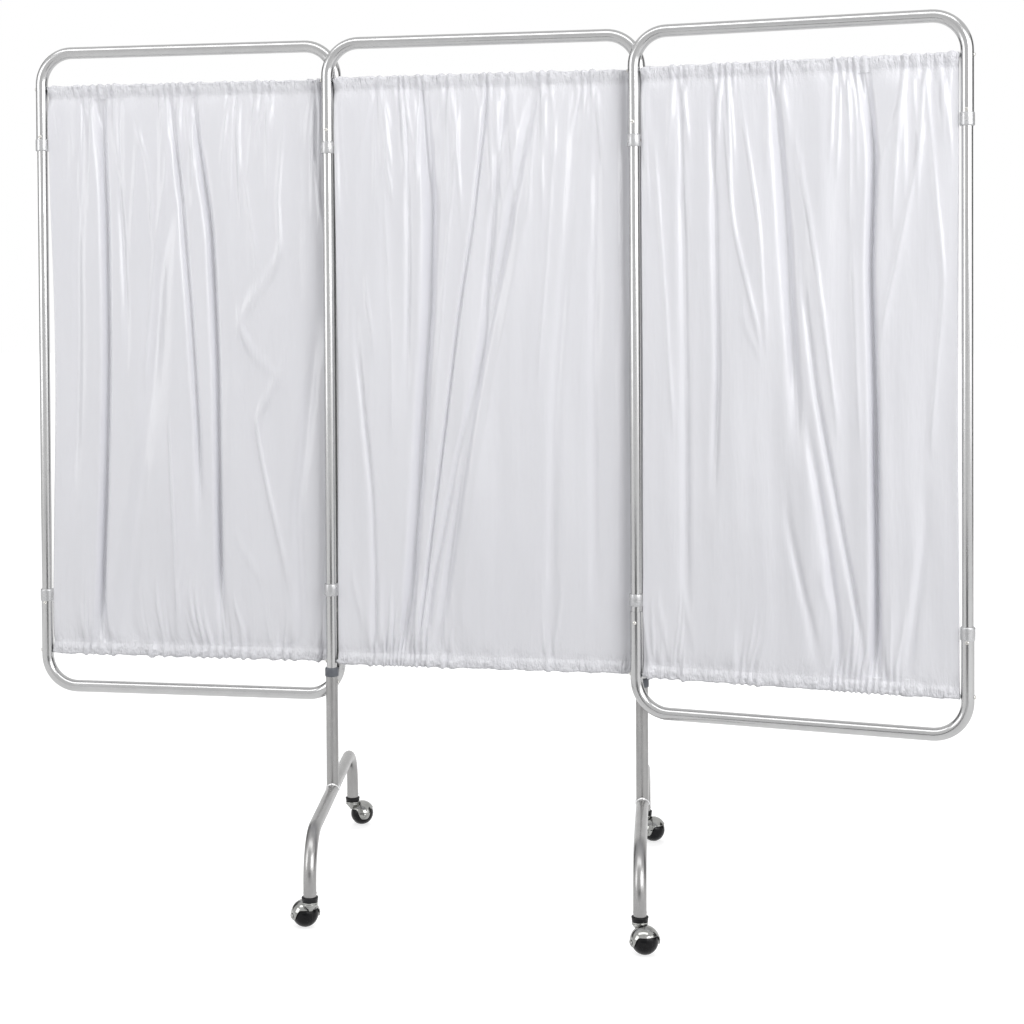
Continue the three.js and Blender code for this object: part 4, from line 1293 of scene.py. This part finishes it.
def course(path, hang, run_out):
    """For each row: the place of a fold across the panel, and how far it has faded in there."""
    shares, levels = zip(*path)
    place = softened(np.interp(hang, levels, shares), 3) * CURTAIN_WIDTH
    fade = np.ones_like(hang)
    if levels[0] > 0:
        fade = fade * np.clip((hang - levels[0]) / run_out + 0.5, 0, 1)
    if levels[-1] < 1:
        fade = fade * np.clip((levels[-1] - hang) / run_out + 0.5, 0, 1)
    return place, fade * fade * (3 - 2 * fade)


def fanned_creases(panel):
    """Fine creases that fan out of every gather, longer under the top rod than over the bottom one."""
    chance = np.random.default_rng(SEEDS[panel] + 5)
    fans = []
    for end, reach in (("top", 0.24), ("bottom", 0.12)):
        for first, last, strength in GATHERS[panel][end]:
            for _ in range(round(3 + 3 * strength)):
                start = chance.uniform(first, last)
                off_middle = (start - (first + last) / 2) / max(last - first, 0.03)
                lean = off_middle * 0.05 + chance.uniform(-0.012, 0.012)
                long = reach * chance.uniform(0.35, 1) ** 1.4
                size, breadth = chance.uniform(1.2, 2.8), chance.uniform(2.6, 5)
                bend = start + 0.45 * lean
                path = [(start, 0), (bend, long / 2), (start + lean, long)]
                if end == "bottom":
                    path = [(share, 1 - level) for share, level in reversed(path)]
                fans.append((size, breadth, path))
    return fans


for panel in PANELS:
    print(panel, "curtain: fanned creases", len(fanned_creases(panel)))


# %% Depth of the drawn folds
SLOW_WAVES = 8
TUCK_FADE, CREASE_FADE = 0.22, 0.1
ROW_STEPS = 1300
LEAST_SWING, MOST_SWING = 0.2, 3.0
HALVINGS = 18


def drawn_folds(panel, hang, across):
    """Depth at every height and place across: tucks to the back, creases to the front, slow waves."""
    waves = np.random.default_rng(SEEDS[panel])
    depth = np.zeros((len(hang), len(across)))
    for _ in range(SLOW_WAVES):
        length, lean, turn = waves.uniform(48, 190) * MM, waves.uniform(-0.1, 0.1), waves.uniform(0, 6.3)
        pace, shift = waves.uniform(0.6, 1.6), waves.uniform(0, 6.3)
        swell = 0.6 + 0.4 * np.sin(2.2 * hang[:, None] * pace * math.pi + shift)
        leaning = across[None, :] + lean * hang[:, None] * DROP
        depth += 0.008 * length * swell * np.cos(2 * math.pi * leaning / length + turn)
    for size, breadth, path in TUCKS[panel]:
        place, fade = course(path, hang, TUCK_FADE)
        away = (across[None, :] - place[:, None]) / (breadth * MM * (1.5 - 0.5 * fade[:, None]))
        depth += size * MM * fade[:, None] * np.exp(-away ** 2)
    for size, breadth, path in CREASES[panel] + fanned_creases(panel):
        place, fade = course(path, hang, CREASE_FADE)
        away = (across[None, :] - place[:, None]) / (breadth * MM * (1.6 - 0.6 * fade[:, None]))
        depth -= 1.05 * size * MM * fade[:, None] * np.exp(0.3 - np.sqrt(away ** 2 + 0.09))
    return depth


def row_lengths(slope, swing, step):
    """Length of each row up to every step across, when its folds swing out by a factor."""
    start = np.zeros((len(slope), 1))
    return np.concatenate([start, np.cumsum(np.sqrt(1 + (swing * slope) ** 2), axis=1)], axis=1) * step


def drawn_rows(panel, hang, cut):
    """Columns laid along each drawn row by length, its swing set so that the row uses the cut width."""
    across = np.linspace(0, CURTAIN_WIDTH, ROW_STEPS)
    depth = drawn_folds(panel, hang, across)
    step = across[1]
    slope = np.diff(depth, axis=1) / step
    low, high = np.full((len(hang), 1), LEAST_SWING), np.full((len(hang), 1), MOST_SWING)
    for _ in range(HALVINGS):
        swing = (low + high) / 2
        short = row_lengths(slope, swing, step)[:, -1:] < CUT_WIDTH
        low, high = np.where(short, swing, low), np.where(short, high, swing)
    swing = softened(swing[:, 0], 4)[:, None]
    lengths = row_lengths(slope, swing, step)
    x, y = np.empty((len(hang), len(cut))), np.empty((len(hang), len(cut)))
    for row in range(len(hang)):
        along = lengths[row] / lengths[row, -1] * CUT_WIDTH
        x[row] = np.interp(cut, along, across)
        y[row] = np.interp(cut, along, depth[row] * swing[row, 0])
    print(panel, "curtain: swing of the drawn rows", swing.min().round(2), "to", swing.max().round(2))
    return x, y - 1.5 * MM


# %% First shape of the hanging sheet
# How far the pleats run down from the rods before they are gone, and how far the seam holds the folds.
PLEAT_RUN, TIGHT_RUN, SEAM_HOLD = 60 * MM, 22 * MM, 20 * MM


def first_shape(panel, cut, top, low):
    """Small pleats at the rods that run out into the drawn tucks and creases."""
    hang = np.linspace(0, 1, HANGING_ROWS)
    from_top, from_low = (hang * DROP)[:, None], ((1 - hang) * DROP)[:, None]
    x, y = drawn_rows(panel, hang, cut)
    at_top, at_low = np.exp(-(from_top / PLEAT_RUN) ** 1.5), np.exp(-(from_low / PLEAT_RUN) ** 1.5)
    x = x * (1 - at_top - at_low) + top[0] * at_top + low[0] * at_low
    y = y * (1 - np.exp(-from_top / SEAM_HOLD)) * (1 - np.exp(-from_low / SEAM_HOLD))
    left, right = PULLED_IN[panel]
    inward = left * (1 - x / CURTAIN_WIDTH) - right * x / CURTAIN_WIDTH
    x += (np.sin(math.pi * hang) ** 2)[:, None] * inward
    for (_, phase, size), away in ((top, from_top), (low, from_low)):
        tight, joined = np.exp(-away / TIGHT_RUN), np.exp(-away / PLEAT_RUN)
        y = y + tight * size * np.cos(phase) + 1.6 * (joined - tight) * size * np.cos(phase / 2)
    grid = np.empty((HANGING_ROWS, COLUMNS, 3))
    grid[:, :, 0] = x
    grid[:, :, 1] = np.clip(y, -FRONT_SWING, BACK_SWING)
    grid[:, :, 2] = TOP_SEAM - from_top
    return grid


print("grid of a hanging sheet:", HANGING_ROWS, "by", COLUMNS)

# %% [markdown]
# ## Relaxing the sheet
# Vinyl bends easily and hardly stretches at all. Each row already has its cut width, but the
# threads that run down between the rows do not have their length yet. Blender's cloth would move
# the folds away while it settles. So the sheet is relaxed with the method behind such cloth:
# neighbouring points are moved until all have their own distance, and the two seams stay put.

# %% Relaxing the sheet
def hold_apart(first, second, length, pull, push):
    """Moves pairs of points towards their own distance: pull if too far apart, push if too near."""
    line = second - first
    size = np.sqrt(np.einsum("ijk,ijk->ij", line, line)) + 1e-9
    error = size - length
    move = (np.where(error > 0, pull, push) * error / size * 0.5)[..., None] * line
    first += move
    second -= move


def every_pair(points, length, axis, reach, pull, push):
    """hold_apart for all points that lie reach apart along one axis, in groups that share no point."""
    grid = points if axis == 0 else points.transpose(1, 0, 2)
    rest = length if axis == 0 else length.T
    for start in range(2 * reach):
        first, second = grid[start:-reach:2 * reach], grid[start + reach::2 * reach]
        count = min(len(first), len(second))
        hold_apart(first[:count], second[:count], rest[start::2 * reach][:count], pull, push)


def relax(points, across, down, sweeps):
    """Lets the sheet find its folds between the two fixed seams, within its swing to front and back."""
    top, low = points[0].copy(), points[-1].copy()
    rows, columns = points.shape[:2]
    one_across = np.tile(across, (rows, 1))
    far_across = one_across[:, :-1] + one_across[:, 1:]
    one_down = np.full((rows - 1, columns), down)
    slanted = np.sqrt(one_across[1:] ** 2 + down ** 2)
    for _ in range(sweeps):
        # The threads keep their length. Those that run down may buckle a little, so their push is soft.
        every_pair(points, one_down, 0, 1, 0.95, 0.35)
        every_pair(points, one_across, 1, 1, 0.95, 0.95)
        # The diagonals give way more easily, as a sheet shears before it stretches.
        for start in (0, 1):
            upper, lower = points[start:-1:2], points[start + 1::2]
            hold_apart(upper[:, :-1], lower[:, 1:], slanted[start::2], 0.25, 0.25)
            hold_apart(upper[:, 1:], lower[:, :-1], slanted[start::2], 0.25, 0.25)
        # Points two or four steps apart are only pushed. That rounds the folds and keeps them straight down.
        every_pair(points, far_across, 1, 2, 0, 0.06)
        every_pair(points, 2 * one_down[:-1], 0, 2, 0, 0.9)
        every_pair(points, 4 * one_down[:-3], 0, 4, 0, 0.5)
        np.clip(points[:, :, 1], -FRONT_SWING, BACK_SWING, out=points[:, :, 1])
        points[0], points[-1] = top, low
    return points


print("sweeps over each sheet:", RELAX_SWEEPS)

# %% [markdown]
# ## Hems
# The sheet goes round each rod and is sewn to itself, which leaves a sleeve for the rod. Bunched up
# on the rod, the sleeve is ruffled most on its outside and least at its seam. A tube with noise on
# it would look inflated. These rows follow the path of the hem instead, from the seam on the front
# round the rod to the edge at the back, and carry the same pleats as the sheet that hangs from it.

# %% Hems round the rods
def hem_rows(rod, up):
    """Stations of a hem from the front round to the back: depth, height, direction out, looseness."""
    half, rise = 5.0 * MM, 5.2 * MM
    stations = []
    for share in (0.0, 0.2, 0.42, 0.64, 0.84):
        depth = 0.2 * MM + (half - 0.2 * MM) * math.sin(share * math.pi / 2) ** 1.3
        stations.append((-depth, rod - up * HEM * (1 - share), (-1, 0), share))
    for k in range(9):
        angle = math.pi * k / 8
        cosine, sine = math.cos(angle), math.sin(angle)
        stations.append((-half * cosine, rod + up * rise * sine, (-cosine, up * sine), 1.0))
    for share in (0.84, 0.64, 0.42, 0.2, 0.0, -0.25):
        depth = 1.1 * MM + (half - 1.1 * MM) * math.sin(max(share, 0) * math.pi / 2) ** 1.3
        stations.append((depth, rod - up * HEM * (1 - share), (1, 0), max(share, 0)))
    return stations


def wrap_hem(rod, up, cut, pleats, seed):
    """Rows of a hem, from its seam on the front to its edge at the back, ruffled by the pleats."""
    place, phase, size = pleats
    rows = []
    for k, (depth, height, out, loose) in enumerate(hem_rows(rod, up)[1:], 1):
        twist = seeded_line(cut, 120, -0.9, 0.9, seed + k // 3) * loose
        ruffle = size * loose * (0.8 - np.cos(phase + twist))
        ruffle = ruffle + seeded_line(cut, 140, -0.5, 0.8, seed + 20 + k) * MM * loose
        row = np.empty((COLUMNS, 3))
        row[:, 0] = place + SIDE_GAP
        row[:, 1] = depth + out[0] * ruffle + (1 - loose) * size * np.cos(phase)
        row[:, 2] = height + out[1] * ruffle * 0.8
        rows.append(row)
    return rows


def weave(panel):
    """The whole sheet from back hem to back hem, the cut coordinate of its columns, and its seam rows."""
    seed = SEEDS[panel]
    cut = column_places(panel)
    top = gather_pleats(panel, "top", cut, seed)
    low = gather_pleats(panel, "bottom", cut, seed + 50)
    hanging = first_shape(panel, cut, top, low)
    down = SLACK * DROP / (HANGING_ROWS - 1)
    hanging = relax(hanging, np.diff(cut), down, RELAX_SWEEPS)
    hanging[:, :, 0] += SIDE_GAP
    over = wrap_hem(TOP_ROD, 1, cut, top, seed + 100)[::-1]
    under = wrap_hem(BOTTOM_ROD, -1, cut, low, seed + 200)
    grid = np.concatenate([np.array(over), hanging, np.array(under)])
    return grid, cut, (len(over), len(over) + HANGING_ROWS - 1)


print("rows of a hem:", len(hem_rows(TOP_ROD, 1)))

# %% [markdown]
# ## The finished curtains
# A single layer of faces has no edge and shows its back as its front. The real sheet has a small
# thickness, which shows along its sides. A Solidify modifier could give it. Here both skins come
# straight from the grid, which lets the UV map say where each point lies on the cut sheet, and
# lets a point attribute say how near a rod it is.

# %% Making the curtains
def two_skins(grid, thickness):
    """A closed sheet: the grid pushed out both ways along its normals, and joined round its edge."""
    along = np.gradient(grid, axis=0)
    across = np.gradient(grid, axis=1)
    normal = np.cross(across, along)
    normal /= np.maximum(np.linalg.norm(normal, axis=2, keepdims=True), 1e-12)
    rows, columns = grid.shape[:2]
    front = (grid + normal * thickness / 2).reshape(-1, 3)
    back = (grid - normal * thickness / 2).reshape(-1, 3)
    index = np.arange(rows * columns).reshape(rows, columns)
    a, b = index[:-1, :-1].ravel(), index[:-1, 1:].ravel()
    c, d = index[1:, 1:].ravel(), index[1:, :-1].ravel()
    offset = rows * columns
    quads = np.concatenate([np.stack([a, d, c, b], 1), np.stack([a, b, c, d], 1) + offset])
    edge = np.concatenate([index[0, :], index[1:, -1], index[-1, -2::-1], index[-2:0:-1, 0]])
    following = np.roll(edge, -1)
    rim = np.stack([edge, following, following + offset, edge + offset], 1)
    return np.concatenate([front, back]), np.concatenate([quads, rim])


def lay_out_uvs(mesh, cut, lengths):
    """The UV map of both skins: the place of each point on the cut sheet, in metres."""
    uv = np.tile(np.stack([np.tile(cut, len(lengths)), np.repeat(lengths, len(cut))], 1), (2, 1))
    layer = mesh.uv_layers.new(name="along")
    corner = np.empty(len(mesh.loops), dtype=np.int64)
    mesh.loops.foreach_get("vertex_index", corner)
    layer.data.foreach_set("uv", uv[corner].astype(np.float32).ravel())


def mark_near_rods(mesh, lengths, seams, columns):
    """A point attribute for the vinyl's crinkles: 1 at the rods, fading out along the sheet."""
    rod_rows = lengths[seams[0]] - HEM, lengths[seams[1]] + HEM
    from_rod = np.minimum(np.abs(lengths - rod_rows[0]), np.abs(lengths - rod_rows[1]))
    near_rod = np.tile(np.repeat(np.exp(-from_rod / CRINKLE_REACH), columns), 2)
    layer = mesh.attributes.new("near_rod", "FLOAT", "POINT")
    layer.data.foreach_set("value", near_rod.astype(np.float32))


def make_curtain(panel):
    grid, cut, seams = weave(panel)
    points, quads = two_skins(grid, CLOTH)
    columns = grid.shape[1]
    steps = np.linalg.norm(np.diff(grid, axis=0), axis=2).mean(axis=1)
    lengths = np.concatenate([[0], np.cumsum(steps)])
    mesh = bpy.data.meshes.new(f"{panel}_vinyl_curtain")
    place = np.array(PANEL_FRAME[panel])
    world = points @ place[:3, :3].T + place[:3, 3]
    mesh.from_pydata(world.tolist(), [], quads.tolist())
    mesh.polygons.foreach_set("use_smooth", [True] * len(mesh.polygons))
    lay_out_uvs(mesh, cut, lengths)
    mark_near_rods(mesh, lengths, seams, columns)
    mesh.materials.append(VINYL)
    piece = bpy.data.objects.new(f"{panel}_vinyl_curtain", mesh)
    bpy.context.scene.collection.objects.link(piece)
    node_name = f"curtain_{panel}"
    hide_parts(node_name)
    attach(piece, BODY_OF[node_name])
    hanging = grid[seams[0]:seams[1] + 1]
    stretch = np.linalg.norm(np.diff(hanging, axis=1), axis=2) / np.diff(cut)
    print(panel, "curtain: cut", round(CUT_WIDTH, 3), "x", round(float(lengths[-1]), 3), "faces", len(quads),
          "thread length 1% to 99%:", np.percentile(stretch, [1, 99]).round(3))
    return piece, grid, seams, (CUT_WIDTH, float(lengths[-1]))


CURTAINS = {panel: make_curtain(panel) for panel in PANELS}

# %% [markdown]
# ## Hem stitches
# The hems are sewn below the top rod and above the bottom rod, and the stitches follow every pleat.
# A painted line of dashes would lie flat and would need a picture. So one small stitch is modelled,
# and Geometry Nodes lays it along the seam of each curtain, turned the way the seam runs.

# %% One stitch
STITCH_LENGTH, STITCH_STEP = 3.0 * MM, 4 * MM


def stitch_mesh():
    """One stitch: a short thread that dips into the sheet at both ends."""
    points, faces = [], []
    sides = steps = 6
    for k in range(steps + 1):
        share = k / steps
        size = 0.22 * MM * (0.5 + 0.5 * math.sin(math.pi * share))
        x = (share - 0.5) * STITCH_LENGTH
        lift = 0.28 * MM * math.sin(math.pi * share)
        for i in range(sides):
            turn = 2 * math.pi * i / sides
            points.append((x, size * math.cos(turn), lift + size * math.sin(turn)))
    for k in range(steps):
        for i in range(sides):
            j = (i + 1) % sides
            faces.append((k * sides + i, (k + 1) * sides + i, (k + 1) * sides + j, k * sides + j))
    faces.append(tuple(range(sides)))
    faces.append(tuple(steps * sides + i for i in reversed(range(sides))))
    mesh = bpy.data.meshes.new("one_stitch")
    mesh.from_pydata(points, [], faces)
    mesh.polygons.foreach_set("use_smooth", [True] * len(mesh.polygons))
    return mesh


ONE_STITCH = bpy.data.objects.new("one_stitch", stitch_mesh())
print("faces of one stitch:", len(ONE_STITCH.data.polygons))


# %% Nodes that lay the stitches
def stitch_nodes():
    """Points at even steps along the seam, with one stitch on each, turned along the seam."""
    group = bpy.data.node_groups.new("row_of_stitches", "GeometryNodeTree")
    group.interface.new_socket("Geometry", in_out="INPUT", socket_type="NodeSocketGeometry")
    group.interface.new_socket("Stitch", in_out="INPUT", socket_type="NodeSocketObject")
    group.interface.new_socket("Thread", in_out="INPUT", socket_type="NodeSocketMaterial")
    group.interface.new_socket("Geometry", in_out="OUTPUT", socket_type="NodeSocketGeometry")
    entry = group.nodes.new("NodeGroupInput")
    leave = group.nodes.new("NodeGroupOutput")
    line = node(group, "GeometryNodeMeshToCurve", {0: entry.outputs[0]})
    points = node(group, "GeometryNodeCurveToPoints", {
        0: line.outputs[0], "Length": STITCH_STEP}, mode="LENGTH")
    thread = node(group, "GeometryNodeObjectInfo", {0: entry.outputs[1]})
    facing = node(group, "FunctionNodeAlignRotationToVector", {"Vector": points.outputs["Tangent"]},
                  axis="X", pivot_axis="AUTO")
    copies = node(group, "GeometryNodeInstanceOnPoints", {
        "Points": points.outputs[0], "Instance": thread.outputs["Geometry"], "Rotation": facing.outputs[0]})
    real = node(group, "GeometryNodeRealizeInstances", {0: copies.outputs[0]})
    finish = node(group, "GeometryNodeSetMaterial", {0: real.outputs[0], "Material": entry.outputs[2]})
    group.links.new(finish.outputs[0], leave.inputs[0])
    return group


STITCH_NODES = stitch_nodes()
print("nodes that lay the stitches:", len(STITCH_NODES.nodes))


# %% Sewing the hems
def seam_line(panel, grid, row, lift):
    """The row of the sheet that carries the seam, lifted off its front face."""
    along = np.gradient(grid, axis=0)[row]
    across = np.gradient(grid, axis=1)[row]
    normal = np.cross(across, along)
    normal /= np.linalg.norm(normal, axis=1, keepdims=True)
    towards = np.where(normal[:, 1:2] > 0, -1, 1)
    line = grid[row] + normal * towards * lift
    return [PANEL_FRAME[panel] @ Vector(point) for point in line[3:-3]]


def sew(panel, grid, rows):
    """A piece with the stitches of both hems of a curtain, as plain faces that ride with it."""
    seam = bpy.data.meshes.new(f"{panel}_seam")
    points, edges = [], []
    for row in rows:
        start = len(points)
        line = seam_line(panel, grid, row, CLOTH / 2 + 0.1 * MM)
        points += line
        edges += [(start + i, start + i + 1) for i in range(len(line) - 1)]
    seam.from_pydata(points, edges, [])
    piece = bpy.data.objects.new(f"{panel}_hem_stitches", seam)
    bpy.context.scene.collection.objects.link(piece)
    modifier = piece.modifiers.new("stitches", "NODES")
    modifier.node_group = STITCH_NODES
    sockets = STITCH_NODES.interface.items_tree
    names = {item.name: item.identifier for item in sockets if item.in_out == "INPUT"}
    modifier[names["Stitch"]] = ONE_STITCH
    modifier[names["Thread"]] = THREAD
    ready = piece.evaluated_get(bpy.context.evaluated_depsgraph_get())
    made = bpy.data.meshes.new_from_object(ready)
    piece.modifiers.clear()
    piece.data = made
    made.polygons.foreach_set("use_smooth", [True] * len(made.polygons))
    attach(piece, BODY_OF[f"curtain_{panel}"])
    print(panel, "stitches: faces", len(made.polygons))
    return piece


for panel, (sheet, grid, seams, flat_size) in CURTAINS.items():
    thread = sew(panel, grid, seams)
bpy.data.objects.remove(ONE_STITCH)

# %% [markdown]
# ## Rods and stems
# The curtain rods and the caster stems are plain round bars, mostly hidden by hems and cups.
# They could be made again as smooth pieces, but their CAD solids already have the right shape.
# So these keep it and get their finish here, with nodes that shade their flat facets as round.

# %% Finish of the CAD solids that stay
def smooth_nodes():
    """Shades a turned solid smooth round its axis and keeps its ends crisp."""
    group = bpy.data.node_groups.new("smooth_round_sides", "GeometryNodeTree")
    group.interface.new_socket("Geometry", in_out="INPUT", socket_type="NodeSocketGeometry")
    group.interface.new_socket("Geometry", in_out="OUTPUT", socket_type="NodeSocketGeometry")
    entry = group.nodes.new("NodeGroupInput")
    leave = group.nodes.new("NodeGroupOutput")
    joined = node(group, "GeometryNodeMergeByDistance", {0: entry.outputs[0], "Distance": 0.00001})
    edge = node(group, "GeometryNodeInputMeshEdgeAngle")
    crisp = node(group, "FunctionNodeCompare", {
        0: edge.outputs[0], 1: math.radians(50)}, operation="GREATER_THAN")
    faces = node(group, "GeometryNodeSetShadeSmooth", {0: joined.outputs[0], "Shade Smooth": True})
    edges = node(group, "GeometryNodeSetShadeSmooth", {
        0: faces.outputs[0], "Selection": crisp.outputs[0], "Shade Smooth": False}, domain="EDGE")
    group.links.new(edges.outputs[0], leave.inputs[0])
    return group


SMOOTH_NODES = smooth_nodes()


def dress(node_name, material):
    kept = frame["nodes"][node_name]
    for slot in kept.material_slots:
        slot.material = material
    smooth = kept.modifiers.new("smooth", "NODES")
    smooth.node_group = SMOOTH_NODES


for panel in PANELS:
    dress(f"top_rod_{panel}", ROD_STEEL)
    dress(f"bottom_rod_{panel}", ROD_STEEL)
for place_name in PLACES:
    dress(f"{place_name}_caster_stem", CHROME)
print("CAD solids with a finish of their own:", 2 * len(PANELS) + len(PLACES))

# %% [markdown]
# ## Studio
# Product pictures like this are taken before white paper with large soft lamps. Metal shows
# nothing but its surroundings, so these matter more for it than the lamps do. A plain white world
# would light the vinyl from all sides and flatten its folds. So the camera and all reflections see
# white, while for every other ray the world has a quarter of that strength, and the lamps do the rest.

# %% Floor
FLOOR_REACH = 30


def white_for_the_camera(tree, light_path):
    """1 for what the camera, a reflection or glass sees directly, otherwise 0."""
    kinds = ("Camera", "Glossy", "Transmission")
    camera, glossy, glass = (light_path.outputs[f"Is {kind} Ray"] for kind in kinds)
    return arithmetic(tree, "MAXIMUM", arithmetic(tree, "MAXIMUM", camera, glossy), glass)


def floor_material():
    material = bpy.data.materials.new("pale_floor")
    material.use_nodes = True
    tree = material.node_tree
    tree.nodes.clear()
    output = tree.nodes.new("ShaderNodeOutputMaterial")
    matte = node(tree, "ShaderNodeBsdfDiffuse", {"Color": (0.5, 0.5, 0.5, 1)})
    glow = node(tree, "ShaderNodeEmission", {"Color": (1, 1, 1, 1)})
    seen = white_for_the_camera(tree, node(tree, "ShaderNodeLightPath"))
    place = node(tree, "ShaderNodeNewGeometry").outputs["Position"]
    away = node(tree, "ShaderNodeVectorMath", {0: place}, operation="LENGTH").outputs["Value"]
    near_to_far = remap(tree, away, 2.5, 8, 0.72, 1.0)
    tree.links.new(arithmetic(tree, "MULTIPLY", seen, near_to_far), glow.inputs["Strength"])
    both = node(tree, "ShaderNodeAddShader", {0: matte.outputs[0], 1: glow.outputs[0]})
    tree.links.new(both.outputs[0], output.inputs[0])
    return material


def make_floor():
    mesh = bpy.data.meshes.new("floor")
    corners = [(x * FLOOR_REACH, y * FLOOR_REACH, 0) for x, y in ((-1, -1), (1, -1), (1, 1), (-1, 1))]
    mesh.from_pydata(corners, [], [(0, 1, 2, 3)])
    mesh.materials.append(floor_material())
    floor = bpy.data.objects.new("floor", mesh)
    bpy.context.scene.collection.objects.link(floor)


make_floor()
print("the floor reaches", FLOOR_REACH, "m each way")


# %% Surround
def make_surround():
    world = bpy.data.worlds.new("studio")
    bpy.context.scene.world = world
    world.use_nodes = True
    tree = world.node_tree
    tree.nodes.clear()
    output = tree.nodes.new("ShaderNodeOutputWorld")
    seen = white_for_the_camera(tree, node(tree, "ShaderNodeLightPath"))
    strength = remap(tree, seen, 0, 1, 0.25, 1.0)
    back = node(tree, "ShaderNodeBackground", {"Color": (1, 1, 1, 1)})
    tree.links.new(strength, back.inputs["Strength"])
    tree.links.new(back.outputs[0], output.inputs[0])


make_surround()
print("world:", bpy.context.scene.world.name)

# %% [markdown]
# ## Lamps
# Light from one side shows folds best. Small lamps would do that with hard shadows and small hot
# spots, and large ones give the vinyl its broad gloss. So there are five large soft lamps: a key
# lamp from the right front, a window on each side, one overhead and one behind for the back.
# The rear lamp is hidden from reflections, as it would put a hard glint on the foot bows.

# %% Lamps
def soft_lamp(name, place, aim, size, watts, seen_in_metal=True):
    light = bpy.data.lights.new(name, "AREA")
    light.shape = "RECTANGLE"
    light.size, light.size_y = size
    light.energy = watts
    lamp = bpy.data.objects.new(name, light)
    lamp.location = place
    lamp.rotation_euler = (Vector(aim) - Vector(place)).to_track_quat("-Z", "Y").to_euler()
    lamp.visible_glossy = seen_in_metal
    bpy.context.scene.collection.objects.link(lamp)


soft_lamp("key", (3.1, -3.3, 2.5), (0.1, 0, 1.1), (2.2, 2.2), 92)
soft_lamp("left_window", (-3.6, -2.4, 1.9), (0, 0, 1.2), (2.2, 2.4), 42)
soft_lamp("right_window", (4.3, -1.7, 1.9), (0.3, 0, 1.2), (2.4, 2.6), 32)
soft_lamp("overhead", (-0.6, -1.6, 4.2), (-0.6, 0, 1.0), (5.6, 1.2), 55)
soft_lamp("rear", (-0.4, 3.2, 3.7), (0, 0, 1.0), (3.6, 2.5), 125, seen_in_metal=False)
print("lamps:", len(bpy.data.lights), "with", sum(light.energy for light in bpy.data.lights), "watts in all")

# %% [markdown]
# ## Boards
# In an all-white studio, bright tubes would vanish against the paper. Photographers hold dark
# boards beside the picture, and the tubes then show them as thin dark lines along their edges.
# These three boards do the same. Only reflections see them, not the camera.

# %% Boards
def board(name, place, size):
    """A dark upright board that faces the screen, seen in reflections only."""
    width, height = size
    mesh = bpy.data.meshes.new(name)
    corners = [(side * width / 2, 0, z) for side, z in ((-1, 0), (1, 0), (1, height), (-1, height))]
    mesh.from_pydata(corners, [], [(0, 1, 2, 3)])
    paint = bpy.data.materials.new(name)
    paint.use_nodes = True
    paint.node_tree.nodes["Principled BSDF"].inputs["Base Color"].default_value = (0.12, 0.12, 0.12, 1)
    mesh.materials.append(paint)
    made = bpy.data.objects.new(name, mesh)
    made.location = place
    made.rotation_euler = (0, 0, math.atan2(-place[0], place[1]))
    made.visible_camera = False
    made.visible_diffuse = False
    made.visible_shadow = False
    bpy.context.scene.collection.objects.link(made)
    print(name, "of", width, "by", height, "m")


board("low_board", (0.3, -2.3, 0), (1.9, 0.42))
board("left_board", (-5.2, 3.2, 0), (3.4, 4.5))
board("right_board", (5.6, 2.2, 0), (3.4, 4.5))

# %% [markdown]
# ## Camera
# The straight tubes of the screen run to vanishing points. They give the camera's place, its turn
# and its focal length, and a fit to more points of the frame refined them. The view's centre lies
# above the middle of the picture, as after a crop, so the camera gets a shift instead of a tilt.

# %% Camera
PICTURE = 1024
SENSOR = 36


def make_camera():
    focal, centre_x, centre_y = 1862.53, PICTURE / 2, 325
    pitch, roll, yaw = (math.radians(a) for a in (-1.1817, -0.3364, -10.8452))
    start = (flat(centre(MIDDLE_POST["left"])) + flat(centre(MIDDLE_POST["right"]))) / 2
    place = start + Vector((0.78873, -3.78805, 1.24143))
    forward = Vector((math.sin(yaw) * math.cos(pitch), math.cos(yaw) * math.cos(pitch), math.sin(pitch)))
    level = Vector((math.cos(yaw), -math.sin(yaw), 0))
    upright = level.cross(forward)
    right = level * math.cos(roll) + upright * math.sin(roll)
    above = -level * math.sin(roll) + upright * math.cos(roll)
    data = bpy.data.cameras.new("camera")
    data.sensor_width = SENSOR
    data.lens = focal / PICTURE * SENSOR
    data.shift_x = (PICTURE / 2 - centre_x) / PICTURE
    data.shift_y = (centre_y - PICTURE / 2) / PICTURE
    data.clip_end = 200
    camera = bpy.data.objects.new("camera", data)
    turn = Matrix((right, above, -forward)).transposed().to_4x4()
    camera.matrix_world = Matrix.Translation(place) @ turn
    bpy.context.scene.collection.objects.link(camera)
    bpy.context.scene.camera = camera
    print("lens", round(data.lens, 2), "mm, camera at", [round(c, 3) for c in camera.location])


make_camera()

# %% [markdown]
# ## Finish
# The standard view keeps the whites of the picture as they are.

# %% Finish
bpy.context.scene.view_settings.view_transform = "Standard"
